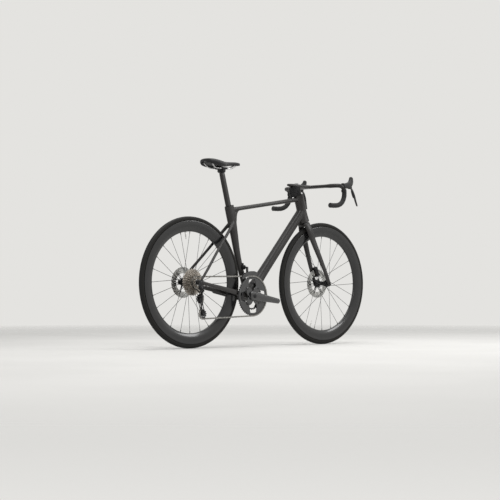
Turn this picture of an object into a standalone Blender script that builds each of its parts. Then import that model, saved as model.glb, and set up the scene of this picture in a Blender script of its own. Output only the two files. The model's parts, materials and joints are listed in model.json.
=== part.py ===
"""Road bicycle with a carbon frame, disc brakes, deep rims and two-by-twelve gears.

Metres, +Z up, +X forward, +Y to the rider's left. The origin lies on the ground, midway
between the two axles.
"""
import math

import bmesh
import bpy
from mathutils import Matrix, Vector

for thing in list(bpy.data.objects):
    bpy.data.objects.remove(thing, do_unlink=True)

# Clearance that neighbouring pieces keep, and the running clearance of turning ones
GAP = 0.0003
RUN = 0.0006

# Wheels
WHEELBASE = 0.992
BEAD_SEAT_RADIUS = 0.311
TYRE_HEIGHT = 0.028
TYRE_WIDTH = 0.028
RIM_DEPTH = 0.050
RIM_WIDTH = 0.0285
SPOKES_PER_SIDE = 12
SPOKE_WIDTH = 0.0022
SPOKE_THICKNESS = 0.0012
FLANGE_RADIUS = 0.021
AXLE_RADIUS = 0.006
FRONT_SPACING = 0.100
REAR_SPACING = 0.142
ROTOR_RADIUS = 0.080
ROTOR_BRAKE_TRACK = 0.014
ROTOR_THICKNESS = 0.0018
FRONT_ROTOR_Y = 0.0395
REAR_ROTOR_Y = 0.0555

# Frame and fork
BOTTOM_BRACKET_DROP = 0.070
CHAINSTAY_LENGTH = 0.407
SEAT_ANGLE = math.radians(74.6)
HEAD_ANGLE = math.radians(73.0)
FORK_OFFSET = 0.045
CROWN_GAP = 0.0010
HEAD_TUBE_BOTTOM_Z = 0.676
HEAD_TUBE_LENGTH = 0.155
SHELL_WIDTH = 0.0865
SHELL_RADIUS = 0.026
SEAT_TUBE_TOP_Z = 0.742
DROPOUT_THICKNESS = 0.008
STEERER_RADIUS = 0.0143
BEARING_RADIUS = 0.0205
BEARING_HEIGHT = 0.007

# Gears, chain and cranks
CHAIN_PITCH = 0.0127
CHAIN_WIDTH = 0.0054
CHAIN_LINE = 0.047
OUTER_TEETH = 52
INNER_TEETH = 36
RING_SPACING = 0.0075
RING_THICKNESS = 0.0022
CRANK_LENGTH = 0.1725
CRANK_DROP_ANGLE = math.radians(9.0)
PEDAL_FACE_SPAN = 0.148
SPINDLE_RADIUS = 0.012
COG_TEETH = (11, 12, 13, 14, 15, 17, 19, 21, 24, 27, 30, 34)
COG_SPACING = 0.0035
COG_THICKNESS = 0.0016
CHAIN_COG = 3
PULLEY_TEETH = 12
GUIDE_PULLEY_AHEAD = 0.024
GUIDE_PULLEY_DROP = 0.083
TENSION_PULLEY_AHEAD = 0.046
TENSION_PULLEY_DROP = 0.1627

# Cockpit
SPACER_STACK = 0.038
STEM_REACH = 0.10732
BAR_CLAMP_Z = 0.873
BAR_HALF_WIDTH = 0.206
BAR_REACH = 0.060
BAR_DROP = 0.112
DROP_FLARE = 0.012
DROP_TUBE_RADIUS = 0.0115
TAPE_THICKNESS = 0.0030
HOOD_TIP_INSET = 0.030

# Saddle and seatpost
SADDLE_LENGTH = 0.252
SADDLE_WIDTH = 0.142
SADDLE_TOP_Z = 0.986
SADDLE_AHEAD = 0.00303
POST_DEPTH = 0.033
POST_WIDTH = 0.021
POST_TOP_DROP = 0.064
RAIL_DROP = 0.048
POST_INSERTION = 0.110
RAIL_RADIUS = 0.0035
RAIL_SPACING = 0.044

WHEEL_RADIUS = BEAD_SEAT_RADIUS + TYRE_HEIGHT
REAR_X = -WHEELBASE / 2
FRONT_X = WHEELBASE / 2
BB_Z = WHEEL_RADIUS - BOTTOM_BRACKET_DROP
BB_X = REAR_X + math.sqrt(CHAINSTAY_LENGTH ** 2 - BOTTOM_BRACKET_DROP ** 2)
STEER_UP = Vector((-math.cos(HEAD_ANGLE), 0, math.sin(HEAD_ANGLE)))
STEER_AHEAD = Vector((math.sin(HEAD_ANGLE), 0, math.cos(HEAD_ANGLE)))
STEER_BASE = Vector((FRONT_X, 0, WHEEL_RADIUS)) - STEER_AHEAD * FORK_OFFSET
X = Vector((1, 0, 0))
Y = Vector((0, 1, 0))
Z = Vector((0, 0, 1))

parts = bpy.data.collections.new("road_bike")
cutters = bpy.data.collections.new("cutters")
bpy.context.scene.collection.children.link(parts)
bpy.context.scene.collection.children.link(cutters)


# Finishes
def finish(name, colour, roughness, metallic=0.0):
    made = bpy.data.materials.new(name)
    made.use_nodes = True
    shader = made.node_tree.nodes["Principled BSDF"]
    srgb = [int(colour[i:i + 2], 16) / 255 for i in (0, 2, 4)]
    linear = [c / 12.92 if c <= 0.04045 else ((c + 0.055) / 1.055) ** 2.4 for c in srgb]
    shader.inputs["Base Color"].default_value = (*linear, 1.0)
    shader.inputs["Roughness"].default_value = roughness
    shader.inputs["Metallic"].default_value = metallic
    made.diffuse_color = (*linear, 1.0)
    return made


CARBON = ("1c1b1c", 0.45, 0.0)
GLOSS_CARBON = ("131315", 0.20, 0.0)
TYRE_RUBBER = ("171717", 0.80, 0.0)
SOFT_RUBBER = ("151516", 0.70, 0.0)
BLACK_METAL = ("18181a", 0.35, 0.8)
STEEL = ("b9b9bb", 0.28, 1.0)
COG_STEEL = ("a8a096", 0.30, 1.0)
CHAIN_STEEL = ("6f6c68", 0.35, 1.0)
CERAMIC_PAD = ("4a4542", 0.85, 0.0)


# Mesh helpers
def add_object(name, mesh, look, collection=parts):
    made = bpy.data.objects.new(name, mesh)
    collection.objects.link(made)
    if look is not None:
        mesh.materials.append(finish(name, *look))
    return made


def smooth(thing, angle=35.0):
    thing.data.shade_smooth()
    thing.data.set_sharp_from_angle(angle=math.radians(angle))
    return thing


def hang(thing, pivot):
    """Parents a piece to its joint's empty and leaves it where it is."""
    bpy.context.view_layer.update()
    thing.parent = pivot
    thing.matrix_parent_inverse = pivot.matrix_world.inverted()
    return thing


def pivot(name, place, along=Z, ahead=X, parent=None):
    """An empty on a joint: its Z lies along the joint's axis."""
    made = bpy.data.objects.new(name, None)
    parts.objects.link(made)
    made.empty_display_size = 0.03
    up = along.normalized()
    side = up.cross(ahead).normalized()
    front = side.cross(up)
    frame = Matrix((front, side, up)).transposed().to_4x4()
    frame.translation = place
    made.matrix_world = frame
    if parent is not None:
        hang(made, parent)
    return made


def ring(centre, side, up, half_side, half_up, power=2.0, count=16, lean=0.0):
    """A superellipse of points; lean makes its +side end blunter than its -side end."""
    points = []
    for i in range(count):
        angle = math.tau * (i + 0.5) / count
        c, s = math.cos(angle), math.sin(angle)
        u = math.copysign(abs(c) ** (2 / power), c)
        v = math.copysign(abs(s) ** (2 / power), s) * (1 + lean * u)
        points.append(centre + side * (u * half_side) + up * (v * half_up))
    return points


def loft(name, rings, look, collection=parts):
    """One closed skin through rings of equal count, with flat ends."""
    bm = bmesh.new()
    rows = [[bm.verts.new(p) for p in points] for points in rings]
    count = len(rows[0])
    for low, high in zip(rows, rows[1:]):
        for i in range(count):
            j = (i + 1) % count
            bm.faces.new((low[i], low[j], high[j], high[i]))
    bm.faces.new(rows[0][::-1])
    bm.faces.new(rows[-1])
    bmesh.ops.recalc_face_normals(bm, faces=bm.faces)
    mesh = bpy.data.meshes.new(name)
    bm.to_mesh(mesh)
    bm.free()
    return smooth(add_object(name, mesh, look, collection))


def box(name, centre, size, look, collection=parts, axes=None):
    bm = bmesh.new()
    bmesh.ops.create_cube(bm, size=1.0)
    frame = Matrix(axes).transposed() if axes else Matrix.Identity(3)
    for vert in bm.verts:
        local = Vector((vert.co.x * size[0], vert.co.y * size[1], vert.co.z * size[2]))
        vert.co = frame @ local + Vector(centre)
    bmesh.ops.recalc_face_normals(bm, faces=bm.faces)
    mesh = bpy.data.meshes.new(name)
    bm.to_mesh(mesh)
    bm.free()
    return add_object(name, mesh, look, collection)


def rod(name, start, end, radius, look, collection=parts, sides=16, end_radius=None):
    """A straight bar or a cone frustum between two points."""
    start, end = Vector(start), Vector(end)
    bm = bmesh.new()
    bmesh.ops.create_cone(
        bm, cap_ends=True, segments=sides, radius1=radius,
        radius2=radius if end_radius is None else end_radius, depth=(end - start).length)
    turn = (end - start).to_track_quat("Z", "Y").to_matrix().to_4x4()
    turn.translation = (start + end) / 2
    bmesh.ops.transform(bm, matrix=turn, verts=bm.verts)
    mesh = bpy.data.meshes.new(name)
    bm.to_mesh(mesh)
    bm.free()
    return smooth(add_object(name, mesh, look, collection))


def bore(start, end, radius, sides=20):
    """A cutter whose flats, not its corners, lie at the radius."""
    return rod("bore", start, end, radius / math.cos(math.pi / sides), None, cutters, sides)


def turned(name, profile, centre, along, look, steps=32, collection=parts):
    """Turns a closed profile of (radius, height) points about an axis through centre."""
    bm = bmesh.new()
    verts = [bm.verts.new((r, 0, h)) for r, h in profile]
    for a, b in zip(verts, verts[1:] + verts[:1]):
        bm.edges.new((a, b))
    mesh = bpy.data.meshes.new(name)
    bm.to_mesh(mesh)
    bm.free()
    made = add_object(name, mesh, look, collection)
    made.rotation_euler = Vector(along).to_track_quat("Z", "X").to_euler()
    made.location = centre
    screw = made.modifiers.new("turn", "SCREW")
    screw.steps = steps
    screw.render_steps = steps
    screw.use_merge_vertices = True
    screw.merge_threshold = 0.00001
    screw.use_smooth_shade = True
    return made


def swept(name, points, radius, look, sides=12, collection=parts):
    """A round tube along a line of points, as a mesh."""
    data = bpy.data.curves.new(name, "CURVE")
    data.dimensions = "3D"
    data.bevel_depth = radius
    data.bevel_resolution = (sides - 4) // 2
    data.use_fill_caps = True
    line = data.splines.new("POLY")
    line.points.add(len(points) - 1)
    for slot, place in zip(line.points, points):
        slot.co = (*place, 1.0)
    guide = bpy.data.objects.new(name + "_line", data)
    collection.objects.link(guide)
    return solid_of(guide, name, look, collection)


def solid_of(guide, name, look, collection=parts):
    """Makes a curve's evaluated tube a welded mesh in the world, and removes the curve."""
    bpy.context.view_layer.update()
    graph = bpy.context.evaluated_depsgraph_get()
    mesh = bpy.data.meshes.new_from_object(guide.evaluated_get(graph))
    bm = bmesh.new()
    bm.from_mesh(mesh)
    bmesh.ops.remove_doubles(bm, verts=bm.verts, dist=0.00001)
    bmesh.ops.recalc_face_normals(bm, faces=bm.faces)
    bm.to_mesh(mesh)
    bm.free()
    mesh.materials.clear()
    made = add_object(name, mesh, look, collection)
    made.matrix_world = guide.matrix_world.copy()
    bpy.data.objects.remove(guide, do_unlink=True)
    return smooth(made)


def plate(name, outline, holes, thickness, centre, look, ahead=X, up=Z, collection=parts):
    """A flat plate with holes, its outline in (ahead, up) coordinates about centre."""
    data = bpy.data.curves.new(name, "CURVE")
    data.dimensions = "2D"
    data.fill_mode = "BOTH"
    data.extrude = thickness / 2
    for loop in [outline, *holes]:
        line = data.splines.new("POLY")
        line.points.add(len(loop) - 1)
        line.use_cyclic_u = True
        for slot, (u, v) in zip(line.points, loop):
            slot.co = (u, v, 0, 1.0)
    guide = bpy.data.objects.new(name + "_outline", data)
    collection.objects.link(guide)
    frame = Matrix((ahead, up, ahead.cross(up))).transposed().to_4x4()
    frame.translation = centre
    guide.matrix_world = frame
    return solid_of(guide, name, look, collection)


def combine(target, others, operation):
    """Applies one Boolean of each other object to the target, and removes the others."""
    for other in others:
        change = target.modifiers.new("combine", "BOOLEAN")
        change.operation = operation
        change.object = other
        change.solver = "EXACT"
        bpy.context.view_layer.update()
        graph = bpy.context.evaluated_depsgraph_get()
        mesh = bpy.data.meshes.new_from_object(target.evaluated_get(graph))
        target.modifiers.clear()
        target.data = mesh
        bpy.data.objects.remove(other, do_unlink=True)
    bm = bmesh.new()
    bm.from_mesh(target.data)
    bmesh.ops.remove_doubles(bm, verts=bm.verts, dist=0.000001)
    bmesh.ops.dissolve_degenerate(bm, edges=bm.edges, dist=0.000001)
    bm.to_mesh(target.data)
    bm.free()
    return smooth(target)


def cut(target, *others):
    return combine(target, others, "DIFFERENCE")


def unite(target, *others):
    return combine(target, others, "UNION")


def circle(radius, count, centre=(0.0, 0.0)):
    return [(centre[0] + radius * math.cos(math.tau * i / count),
             centre[1] + radius * math.sin(math.tau * i / count)) for i in range(count)]


# Wheels: every ring's radii are facet radii, so the tyre's lowest facet lies on the ground
WHEEL_STEPS = 30
BOTTOM_FACET = math.pi / WHEEL_STEPS
HOOK_RADIUS = BEAD_SEAT_RADIUS + 0.0055
BED_RADIUS = BEAD_SEAT_RADIUS - 0.0003
CHANNEL_HALF_WIDTH = 0.0111
TREAD_HALF_WIDTH = 0.0045
RIM_NOSE_RADIUS = BEAD_SEAT_RADIUS - RIM_DEPTH


def mirrored(profile):
    """Closes a half profile, given for +Y from the axle outward, over the mid plane."""
    return profile + [(r, -h) for r, h in reversed(profile)]


def wheel_ring(name, half_profile, centre, look):
    profile = [(r / math.cos(math.pi / WHEEL_STEPS), h) for r, h in mirrored(half_profile)]
    start = Vector((math.sin(BOTTOM_FACET), 0, -math.cos(BOTTOM_FACET)))
    made = turned(name, profile, (0, 0, 0), Y, look, WHEEL_STEPS)
    frame = Matrix((start, Y.cross(start), Y)).transposed().to_4x4()
    frame.translation = centre
    made.matrix_world = frame
    return made


def tyre(name, centre):
    outer = BEAD_SEAT_RADIUS + TYRE_HEIGHT
    half = TYRE_WIDTH / 2
    profile = [
        (BED_RADIUS + GAP, CHANNEL_HALF_WIDTH - 0.0008),
        (HOOK_RADIUS + GAP, CHANNEL_HALF_WIDTH - GAP),
        (outer - TYRE_HEIGHT * 0.52, half),
        (outer - TYRE_HEIGHT * 0.18, half * 0.82),
        (outer, TREAD_HALF_WIDTH),
    ]
    return wheel_ring(name, profile, centre, TYRE_RUBBER)


def rim(name, centre):
    half = RIM_WIDTH / 2
    profile = [
        (RIM_NOSE_RADIUS, 0.0035),
        (RIM_NOSE_RADIUS + RIM_DEPTH * 0.40, half * 0.80),
        (RIM_NOSE_RADIUS + RIM_DEPTH * 0.80, half),
        (HOOK_RADIUS, half),
        (HOOK_RADIUS, CHANNEL_HALF_WIDTH),
        (BED_RADIUS, CHANNEL_HALF_WIDTH - 0.0005),
    ]
    return wheel_ring(name, profile, centre, GLOSS_CARBON)


def spoke(name, side, index, flange_y):
    """A bladed spoke from a flange to the rim, leading and trailing ones by turns."""
    rim_angle = math.tau * (2 * index + side) / (2 * SPOKES_PER_SIDE)
    lead = 1 if index % 2 else -1
    hub_angle = rim_angle + lead * math.radians(62)
    hub = Vector((math.cos(hub_angle), 0, math.sin(hub_angle))) * (FLANGE_RADIUS - 0.002)
    hub.y = flange_y + lead * 0.0008
    tip = Vector((math.cos(rim_angle), 0, math.sin(rim_angle))) * (RIM_NOSE_RADIUS - GAP)
    tip.y = math.copysign(0.0015, flange_y)
    along = (tip - hub).normalized()
    thin = (Y - along * along.y).normalized()
    return box(name, (hub + tip) / 2, (SPOKE_THICKNESS, SPOKE_WIDTH, (tip - hub).length), None,
               axes=(thin, along.cross(thin), along))


def hub(name, profile, flanges, centre):
    """A hub shell with its bore, both flanges and all its spokes as one piece."""
    made = turned(name, profile, (0, 0, 0), Y, BLACK_METAL, 16)
    spokes = [spoke("spoke", side, index, flange_y)
              for side, flange_y in enumerate(flanges) for index in range(SPOKES_PER_SIDE)]
    unite(made, *spokes)
    made.location = centre
    return made


def hub_profile(left_end, right_end, rotor_y, left_flange, right_flange):
    """From the left end cap to the right one; the rotor sits on the left boss."""
    bore = AXLE_RADIUS + RUN
    barrel = 0.0125
    outer = [
        (0.0095, left_end), (0.0095, rotor_y + 0.0035), (ROTOR_BOSS_RADIUS, rotor_y + 0.0035),
        (ROTOR_BOSS_RADIUS, left_flange + 0.003), (FLANGE_RADIUS, left_flange + 0.002),
        (FLANGE_RADIUS, left_flange - 0.002), (barrel, left_flange - 0.006),
        (barrel, right_flange + 0.006), (FLANGE_RADIUS, right_flange + 0.002),
        (FLANGE_RADIUS, right_flange - 0.002), (0.0095, right_flange - 0.0045),
    ]
    return [(bore, left_end), *outer, (0.0095, right_end), (bore, right_end)]


ROTOR_BOSS_RADIUS = 0.0160
ROTOR_ARMS = 6


def rotor(name, centre):
    """A brake rotor: a track ring, its carrier arms and the hole for the hub's boss."""
    windows = []
    inner = ROTOR_RADIUS - ROTOR_BRAKE_TRACK
    for arm in range(ROTOR_ARMS):
        middle = math.tau * arm / ROTOR_ARMS
        loop = []
        for radius, spans in ((inner, (-0.42, -0.14, 0.14, 0.42)), (0.030, (0.26, -0.26))):
            for span in spans:
                turn = middle + span + (0.25 if radius < inner else 0.0)
                loop.append((radius * math.cos(turn), radius * math.sin(turn)))
        windows.append(loop)
    windows.append(circle(ROTOR_BOSS_RADIUS + GAP, 16))
    return plate(name, circle(ROTOR_RADIUS, 36), windows, ROTOR_THICKNESS, centre, STEEL)


def thru_axle(name, centre, half_span):
    """The axle through hub and dropouts, its flush head on the left."""
    end = half_span + DROPOUT_THICKNESS
    made = rod(name, centre - Y * (end - 0.001), centre + Y * (end + 0.001), AXLE_RADIUS, BLACK_METAL)
    head = rod("head", centre + Y * (end + GAP), centre + Y * (end + 0.004), 0.0095, None)
    return unite(made, head)


front_axle = Vector((FRONT_X, 0, WHEEL_RADIUS))
rear_axle = Vector((REAR_X, 0, WHEEL_RADIUS))
END_PLAY = 0.0004
front_end = FRONT_SPACING / 2 - END_PLAY
rear_end = REAR_SPACING / 2 - END_PLAY
FREEHUB_Y = -0.0175

front_profile = hub_profile(front_end, -front_end, FRONT_ROTOR_Y, 0.0310, -0.0350)
rear_profile = hub_profile(rear_end, FREEHUB_Y + END_PLAY, REAR_ROTOR_Y, 0.0360, -0.0110)

steering_pivot = pivot("steering_pivot", STEER_BASE, STEER_UP, STEER_AHEAD)
front_wheel_pivot = pivot("front_wheel_pivot", front_axle, Y, X, steering_pivot)
rear_wheel_pivot = pivot("rear_wheel_pivot", rear_axle, Y, X)

front_wheel = [
    tyre("front_tyre", front_axle),
    rim("front_rim", front_axle),
    hub("front_hub", front_profile, (0.0310, -0.0350), front_axle),
    rotor("front_rotor", front_axle + Y * FRONT_ROTOR_Y),
]
rear_wheel = [
    tyre("rear_tyre", rear_axle),
    rim("rear_rim", rear_axle),
    hub("rear_hub", rear_profile, (0.0360, -0.0110), rear_axle),
    rotor("rear_rotor", rear_axle + Y * REAR_ROTOR_Y),
]
for piece in front_wheel:
    hang(piece, front_wheel_pivot)
for piece in rear_wheel:
    hang(piece, rear_wheel_pivot)


# Frame: each tube is a loft, and a neighbour is cut by the same loft grown by the gap
SEAT_UP = Vector((-math.cos(SEAT_ANGLE), 0, math.sin(SEAT_ANGLE)))
SEAT_AHEAD = Vector((math.sin(SEAT_ANGLE), 0, math.cos(SEAT_ANGLE)))
bottom_bracket_centre = Vector((BB_X, 0, BB_Z))
SEATSTAY_JOIN_Z = 0.655
CUP_RADIUS = 0.0205
TOP_TUBE_HALF_HEIGHT = 0.0110
TOP_TUBE_HALF_WIDTH = 0.0160
DOWN_TUBE_HALF_DEPTH = 0.0250
DOWN_TUBE_HALF_WIDTH = 0.0220
SEAT_TUBE_HALF_DEPTH = 0.0185
SEAT_TUBE_HALF_WIDTH = 0.0140
HEAD_TUBE_HALF_DEPTH = 0.0290
HEAD_TUBE_HALF_WIDTH = 0.0230
STAY_HALF_WIDTH = 0.0080
TOP_TUBE_JOIN = 0.81
DOWN_TUBE_JOIN = 0.36
TYRE_ROOM = 0.0065


def seat_point(z):
    return bottom_bracket_centre + SEAT_UP * ((z - BB_Z) / SEAT_UP.z)


def steer_point(z):
    return STEER_BASE + STEER_UP * ((z - STEER_BASE.z) / STEER_UP.z)


def grown_loft(name, stations, look, grow, collection, power=2.4, count=16, lean=0.0):
    """Stations are (centre, side, half side, up, half up)."""
    rings = [ring(centre, side, up, half_side + grow, half_up + grow, power, count, lean)
             for centre, side, half_side, up, half_up in stations]
    return loft(name, rings, look, collection)


def head_tube_skin(name, look=None, grow=0.0, collection=cutters):
    low = steer_point(HEAD_TUBE_BOTTOM_Z)
    depth, width = HEAD_TUBE_HALF_DEPTH, HEAD_TUBE_HALF_WIDTH
    shape = [(0.0, 1.17, 1.16, 0.003), (0.25, 1.05, 1.0, 0.004), (0.6, 1.0, 0.97, 0.004),
             (1.0, 1.03, 1.07, 0.004)]
    stations = [(low + STEER_UP * (HEAD_TUBE_LENGTH * t) + STEER_AHEAD * shift,
                 STEER_AHEAD, depth * d, Y, width * w) for t, d, w, shift in shape]
    return grown_loft(name, stations, look, grow, collection, 2.2)


def seat_tube_skin(name, look=None, grow=0.0, collection=cutters):
    depth, width = SEAT_TUBE_HALF_DEPTH, SEAT_TUBE_HALF_WIDTH
    shape = [
        (0.04, 1.05, 1.02, 0.003), (0.15, 0.90, 1.0, 0.003), (0.32, 0.89, 0.97, -0.004),
        (0.49, 1.0, 1.0, -0.005), (0.68, 1.24, 1.06, 0.0), (0.89, 1.58, 1.18, 0.004), (1.0, 1.52, 1.18, 0.004),
    ]
    span = SEAT_TUBE_TOP_Z - BB_Z
    stations = [(seat_point(BB_Z + span * t) + SEAT_AHEAD * shift, SEAT_AHEAD, depth * d, Y, width * w)
                for t, d, w, shift in shape]
    return grown_loft(name, stations, look, grow, collection, 2.4)


def down_tube_skin(name, look=None, grow=0.0, collection=cutters):
    low = bottom_bracket_centre + Vector((0.006, 0, -0.006))
    high = steer_point(HEAD_TUBE_BOTTOM_Z + HEAD_TUBE_LENGTH * DOWN_TUBE_JOIN) - STEER_AHEAD * 0.004
    along = (high - low).normalized()
    up = along.cross(Y) * -1.0
    depth, width = DOWN_TUBE_HALF_DEPTH, DOWN_TUBE_HALF_WIDTH
    shape = [(0.0, 1.15, 1.40), (0.12, 1.12, 1.36), (0.30, 1.0, 1.10), (0.60, 0.98, 1.0), (1.0, 0.98, 1.0)]
    stations = [(low.lerp(high, t), Y, width * w, up, depth * d) for t, d, w in shape]
    return grown_loft(name, stations, look, grow, collection, 2.6)


def top_tube_skin(name, look=None, grow=0.0, collection=cutters):
    low = seat_point(SEAT_TUBE_TOP_Z - 0.021) + SEAT_AHEAD * 0.008
    high = steer_point(HEAD_TUBE_BOTTOM_Z + HEAD_TUBE_LENGTH * TOP_TUBE_JOIN)
    up = (high - low).normalized().cross(Y) * -1.0
    height, width = TOP_TUBE_HALF_HEIGHT, TOP_TUBE_HALF_WIDTH
    shape = [(0.0, 1.25, 0.94), (0.11, 1.03, 0.94), (0.42, 0.97, 1.0), (0.80, 1.02, 1.12), (1.0, 1.1, 1.2)]
    stations = [(low.lerp(high, t), Y, width * w, up, height * h) for t, h, w in shape]
    return grown_loft(name, stations, look, grow, collection, 2.5)


def shell_skin(name, look=None, grow=0.0, collection=cutters):
    half = SHELL_WIDTH / 2
    shape = ((-1, 0.95), (-0.7, 1.03), (0.7, 1.03), (1, 0.95))
    stations = [(bottom_bracket_centre + Y * (half * t + math.copysign(grow, t)),
                 X, SHELL_RADIUS * r, Z, SHELL_RADIUS * r) for t, r in shape]
    return grown_loft(name, stations, look, grow, collection, 2.0)


def chainstay_skin(name, side, look=None, grow=0.0, collection=cutters):
    """side is +1 on the left and -1 on the right."""
    inner = TYRE_WIDTH / 2 + TYRE_ROOM
    dropout = REAR_SPACING / 2 + DROPOUT_THICKNESS / 2
    thin = DROPOUT_THICKNESS / 2
    stay = STAY_HALF_WIDTH
    shape = [
        (0.02, inner + stay, 0.0150, stay), (0.17, inner + stay, 0.0145, stay),
        (0.30, inner + stay + 0.009, 0.0140, stay), (0.51, dropout * 0.70, 0.0125, stay),
        (0.76, dropout - 0.0085, 0.0100, stay * 0.75), (0.90, dropout - 0.0002, 0.0100, thin - 0.0002),
        (0.96, dropout, 0.0135, thin), (1.02, dropout, 0.0135, thin), (1.045, dropout, 0.0080, thin),
    ]
    stations = [(bottom_bracket_centre.lerp(rear_axle, t) + Y * (side * y), Y, half_width, Z, half_height)
                for t, y, half_height, half_width in shape]
    return grown_loft(name, stations, look, grow, collection, 2.8, 12)


def seatstay_skin(name, side, look=None, grow=0.0, collection=cutters):
    join = seat_point(SEATSTAY_JOIN_Z)
    along = (rear_axle - join).normalized()
    up = along.cross(Y)
    inner = TYRE_WIDTH / 2 + TYRE_ROOM
    dropout = REAR_SPACING / 2 + DROPOUT_THICKNESS / 2
    shape = [
        (0.0, inner - 0.0085, 0.0120, 0.0055), (0.05, inner - 0.0045, 0.0110, 0.0055), (0.13, inner + 0.0020, 0.0098, 0.0050),
        (0.25, inner + 0.0095, 0.0088, 0.0055), (0.50, inner + 0.0240, 0.0082, 0.0055),
        (0.75, dropout - 0.0120, 0.0082, 0.0055), (0.90, dropout - 0.0035, 0.0080, 0.0045),
        (0.965, dropout, 0.0078, 0.0035),
    ]
    stations = [(join.lerp(rear_axle, t) + Y * (side * y), Y, half_width, up, half_depth)
                for t, y, half_depth, half_width in shape]
    return grown_loft(name, stations, look, grow, collection, 2.3, 12)


def post_skin(name, low_z, high_z, look=None, grow=0.0, collection=cutters):
    stations = [(seat_point(z), SEAT_AHEAD, POST_DEPTH / 2, Y, POST_WIDTH / 2) for z in (low_z, high_z)]
    return grown_loft(name, stations, look, grow, collection, 2.4, 16, -0.12)


POST_BOTTOM_Z = SEAT_TUBE_TOP_Z - POST_INSERTION * SEAT_UP.z
POST_TRAVEL_DOWN = 0.025
POST_TRAVEL_UP = 0.030
POST_BORE_BOTTOM_Z = POST_BOTTOM_Z - (POST_TRAVEL_DOWN + 0.004) * SEAT_UP.z

# The wedge that clamps the seatpost sits in a pocket in front of it
WEDGE_SIZE = (0.0080, 0.0120, 0.0240)
wedge_top = seat_point(SEAT_TUBE_TOP_Z) + SEAT_AHEAD * (POST_DEPTH / 2 + GAP + WEDGE_SIZE[0] / 2)


def wedge_block(name, look=None, grow=0.0, rise=0.0, collection=cutters):
    size = (WEDGE_SIZE[0] + 2 * grow, WEDGE_SIZE[1] + 2 * grow, WEDGE_SIZE[2] + grow + rise)
    centre = wedge_top + SEAT_UP * ((rise - grow - WEDGE_SIZE[2]) / 2)
    return box(name, centre, size, look, collection, (SEAT_AHEAD, Y, SEAT_UP))


head_tube = head_tube_skin("head_tube", CARBON, 0.0, parts)
head_low = steer_point(HEAD_TUBE_BOTTOM_Z)
head_high = head_low + STEER_UP * HEAD_TUBE_LENGTH
past = STEER_UP * 0.01
bearing_seat = STEER_UP * (BEARING_HEIGHT - CROWN_GAP + 2 * GAP)
cut(head_tube,
    bore(head_low - past, head_high + past, STEERER_RADIUS + 0.0015),
    bore(head_low - past, head_low + bearing_seat, BEARING_RADIUS + GAP),
    bore(head_high - bearing_seat, head_high + past, BEARING_RADIUS + GAP))

seat_tube = seat_tube_skin("seat_tube", CARBON, 0.0, parts)
cut(seat_tube, shell_skin("shell", grow=GAP), down_tube_skin("down", grow=GAP),
    post_skin("post_bore", POST_BORE_BOTTOM_Z, SEAT_TUBE_TOP_Z + 0.02, grow=GAP),
    wedge_block("pocket", grow=GAP, rise=0.01))
wedge = wedge_block("seatpost_wedge", BLACK_METAL, rise=-0.0010, collection=parts)

top_tube = top_tube_skin("top_tube", CARBON, 0.0, parts)
above_head = bore(head_high, head_high + STEER_UP * 0.05, HEAD_TUBE_HALF_DEPTH * 3, 8)
cut(top_tube, head_tube_skin("head", grow=GAP), seat_tube_skin("seat", grow=GAP), above_head)

down_tube = down_tube_skin("down_tube", CARBON, 0.0, parts)
cut(down_tube, head_tube_skin("head", grow=GAP), shell_skin("shell", grow=GAP))

shell = shell_skin("bottom_bracket_shell", CARBON, 0.0, parts)
shell_half = Y * (SHELL_WIDTH / 2 + 0.01)
cut(shell, bore(bottom_bracket_centre - shell_half, bottom_bracket_centre + shell_half, CUP_RADIUS + GAP, 20))

for side, word in ((1, "left"), (-1, "right")):
    stay = chainstay_skin("chainstay_" + word, side, CARBON, 0.0, parts)
    face = rear_axle + Y * (side * REAR_SPACING / 2)
    cut(stay, shell_skin("shell", grow=GAP),
        bore(face - Y * (side * 0.01), face + Y * (side * 0.02), AXLE_RADIUS + GAP, 16))
    stay = seatstay_skin("seatstay_" + word, side, CARBON, 0.0, parts)
    cut(stay, seat_tube_skin("seat", grow=GAP), chainstay_skin("dropout", side, grow=GAP))


def path_loft(name, places, half_sides, half_ups, look, side_hint=Y, grow=0.0, collection=parts,
              power=2.2, count=10):
    """A loft whose rings stand square to the line through their centres."""
    rings = []
    for i, place in enumerate(places):
        before, after = places[max(i - 1, 0)], places[min(i + 1, len(places) - 1)]
        along = (after - before).normalized()
        side = (side_hint - along * along.dot(side_hint)).normalized()
        up = along.cross(side)
        rings.append(ring(place, side, up, half_sides[i] + grow, half_ups[i] + grow, power, count))
    return loft(name, rings, look, collection)


def bearing(name, low, look):
    """A headset or hub bearing: a plain ring round the steerer."""
    inner, outer = STEERER_RADIUS + GAP, BEARING_RADIUS
    profile = [(inner, BEARING_HEIGHT), (outer, BEARING_HEIGHT), (outer, 0), (inner, 0)]
    return turned(name, profile, low, STEER_UP, look, 20)


bearing("lower_headset_bearing", head_low - STEER_UP * (CROWN_GAP - GAP), BLACK_METAL)
bearing("upper_headset_bearing", head_high + STEER_UP * (CROWN_GAP - GAP - BEARING_HEIGHT), BLACK_METAL)

# Bottom bracket: two cups and the sleeve between them
SPINDLE_SIDES = 16
sleeve_half = SHELL_WIDTH / 2 + 0.0015
CUP_LENGTH = 0.012
SLEEVE_STEP = 0.002
bottom_bracket = turned(
    "bottom_bracket",
    mirrored([(SPINDLE_RADIUS + RUN, sleeve_half), (CUP_RADIUS, sleeve_half),
              (CUP_RADIUS, sleeve_half - CUP_LENGTH),
              (CUP_RADIUS - SLEEVE_STEP, sleeve_half - CUP_LENGTH - SLEEVE_STEP)]),
    bottom_bracket_centre, Y, BLACK_METAL, SPINDLE_SIDES)

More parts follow.
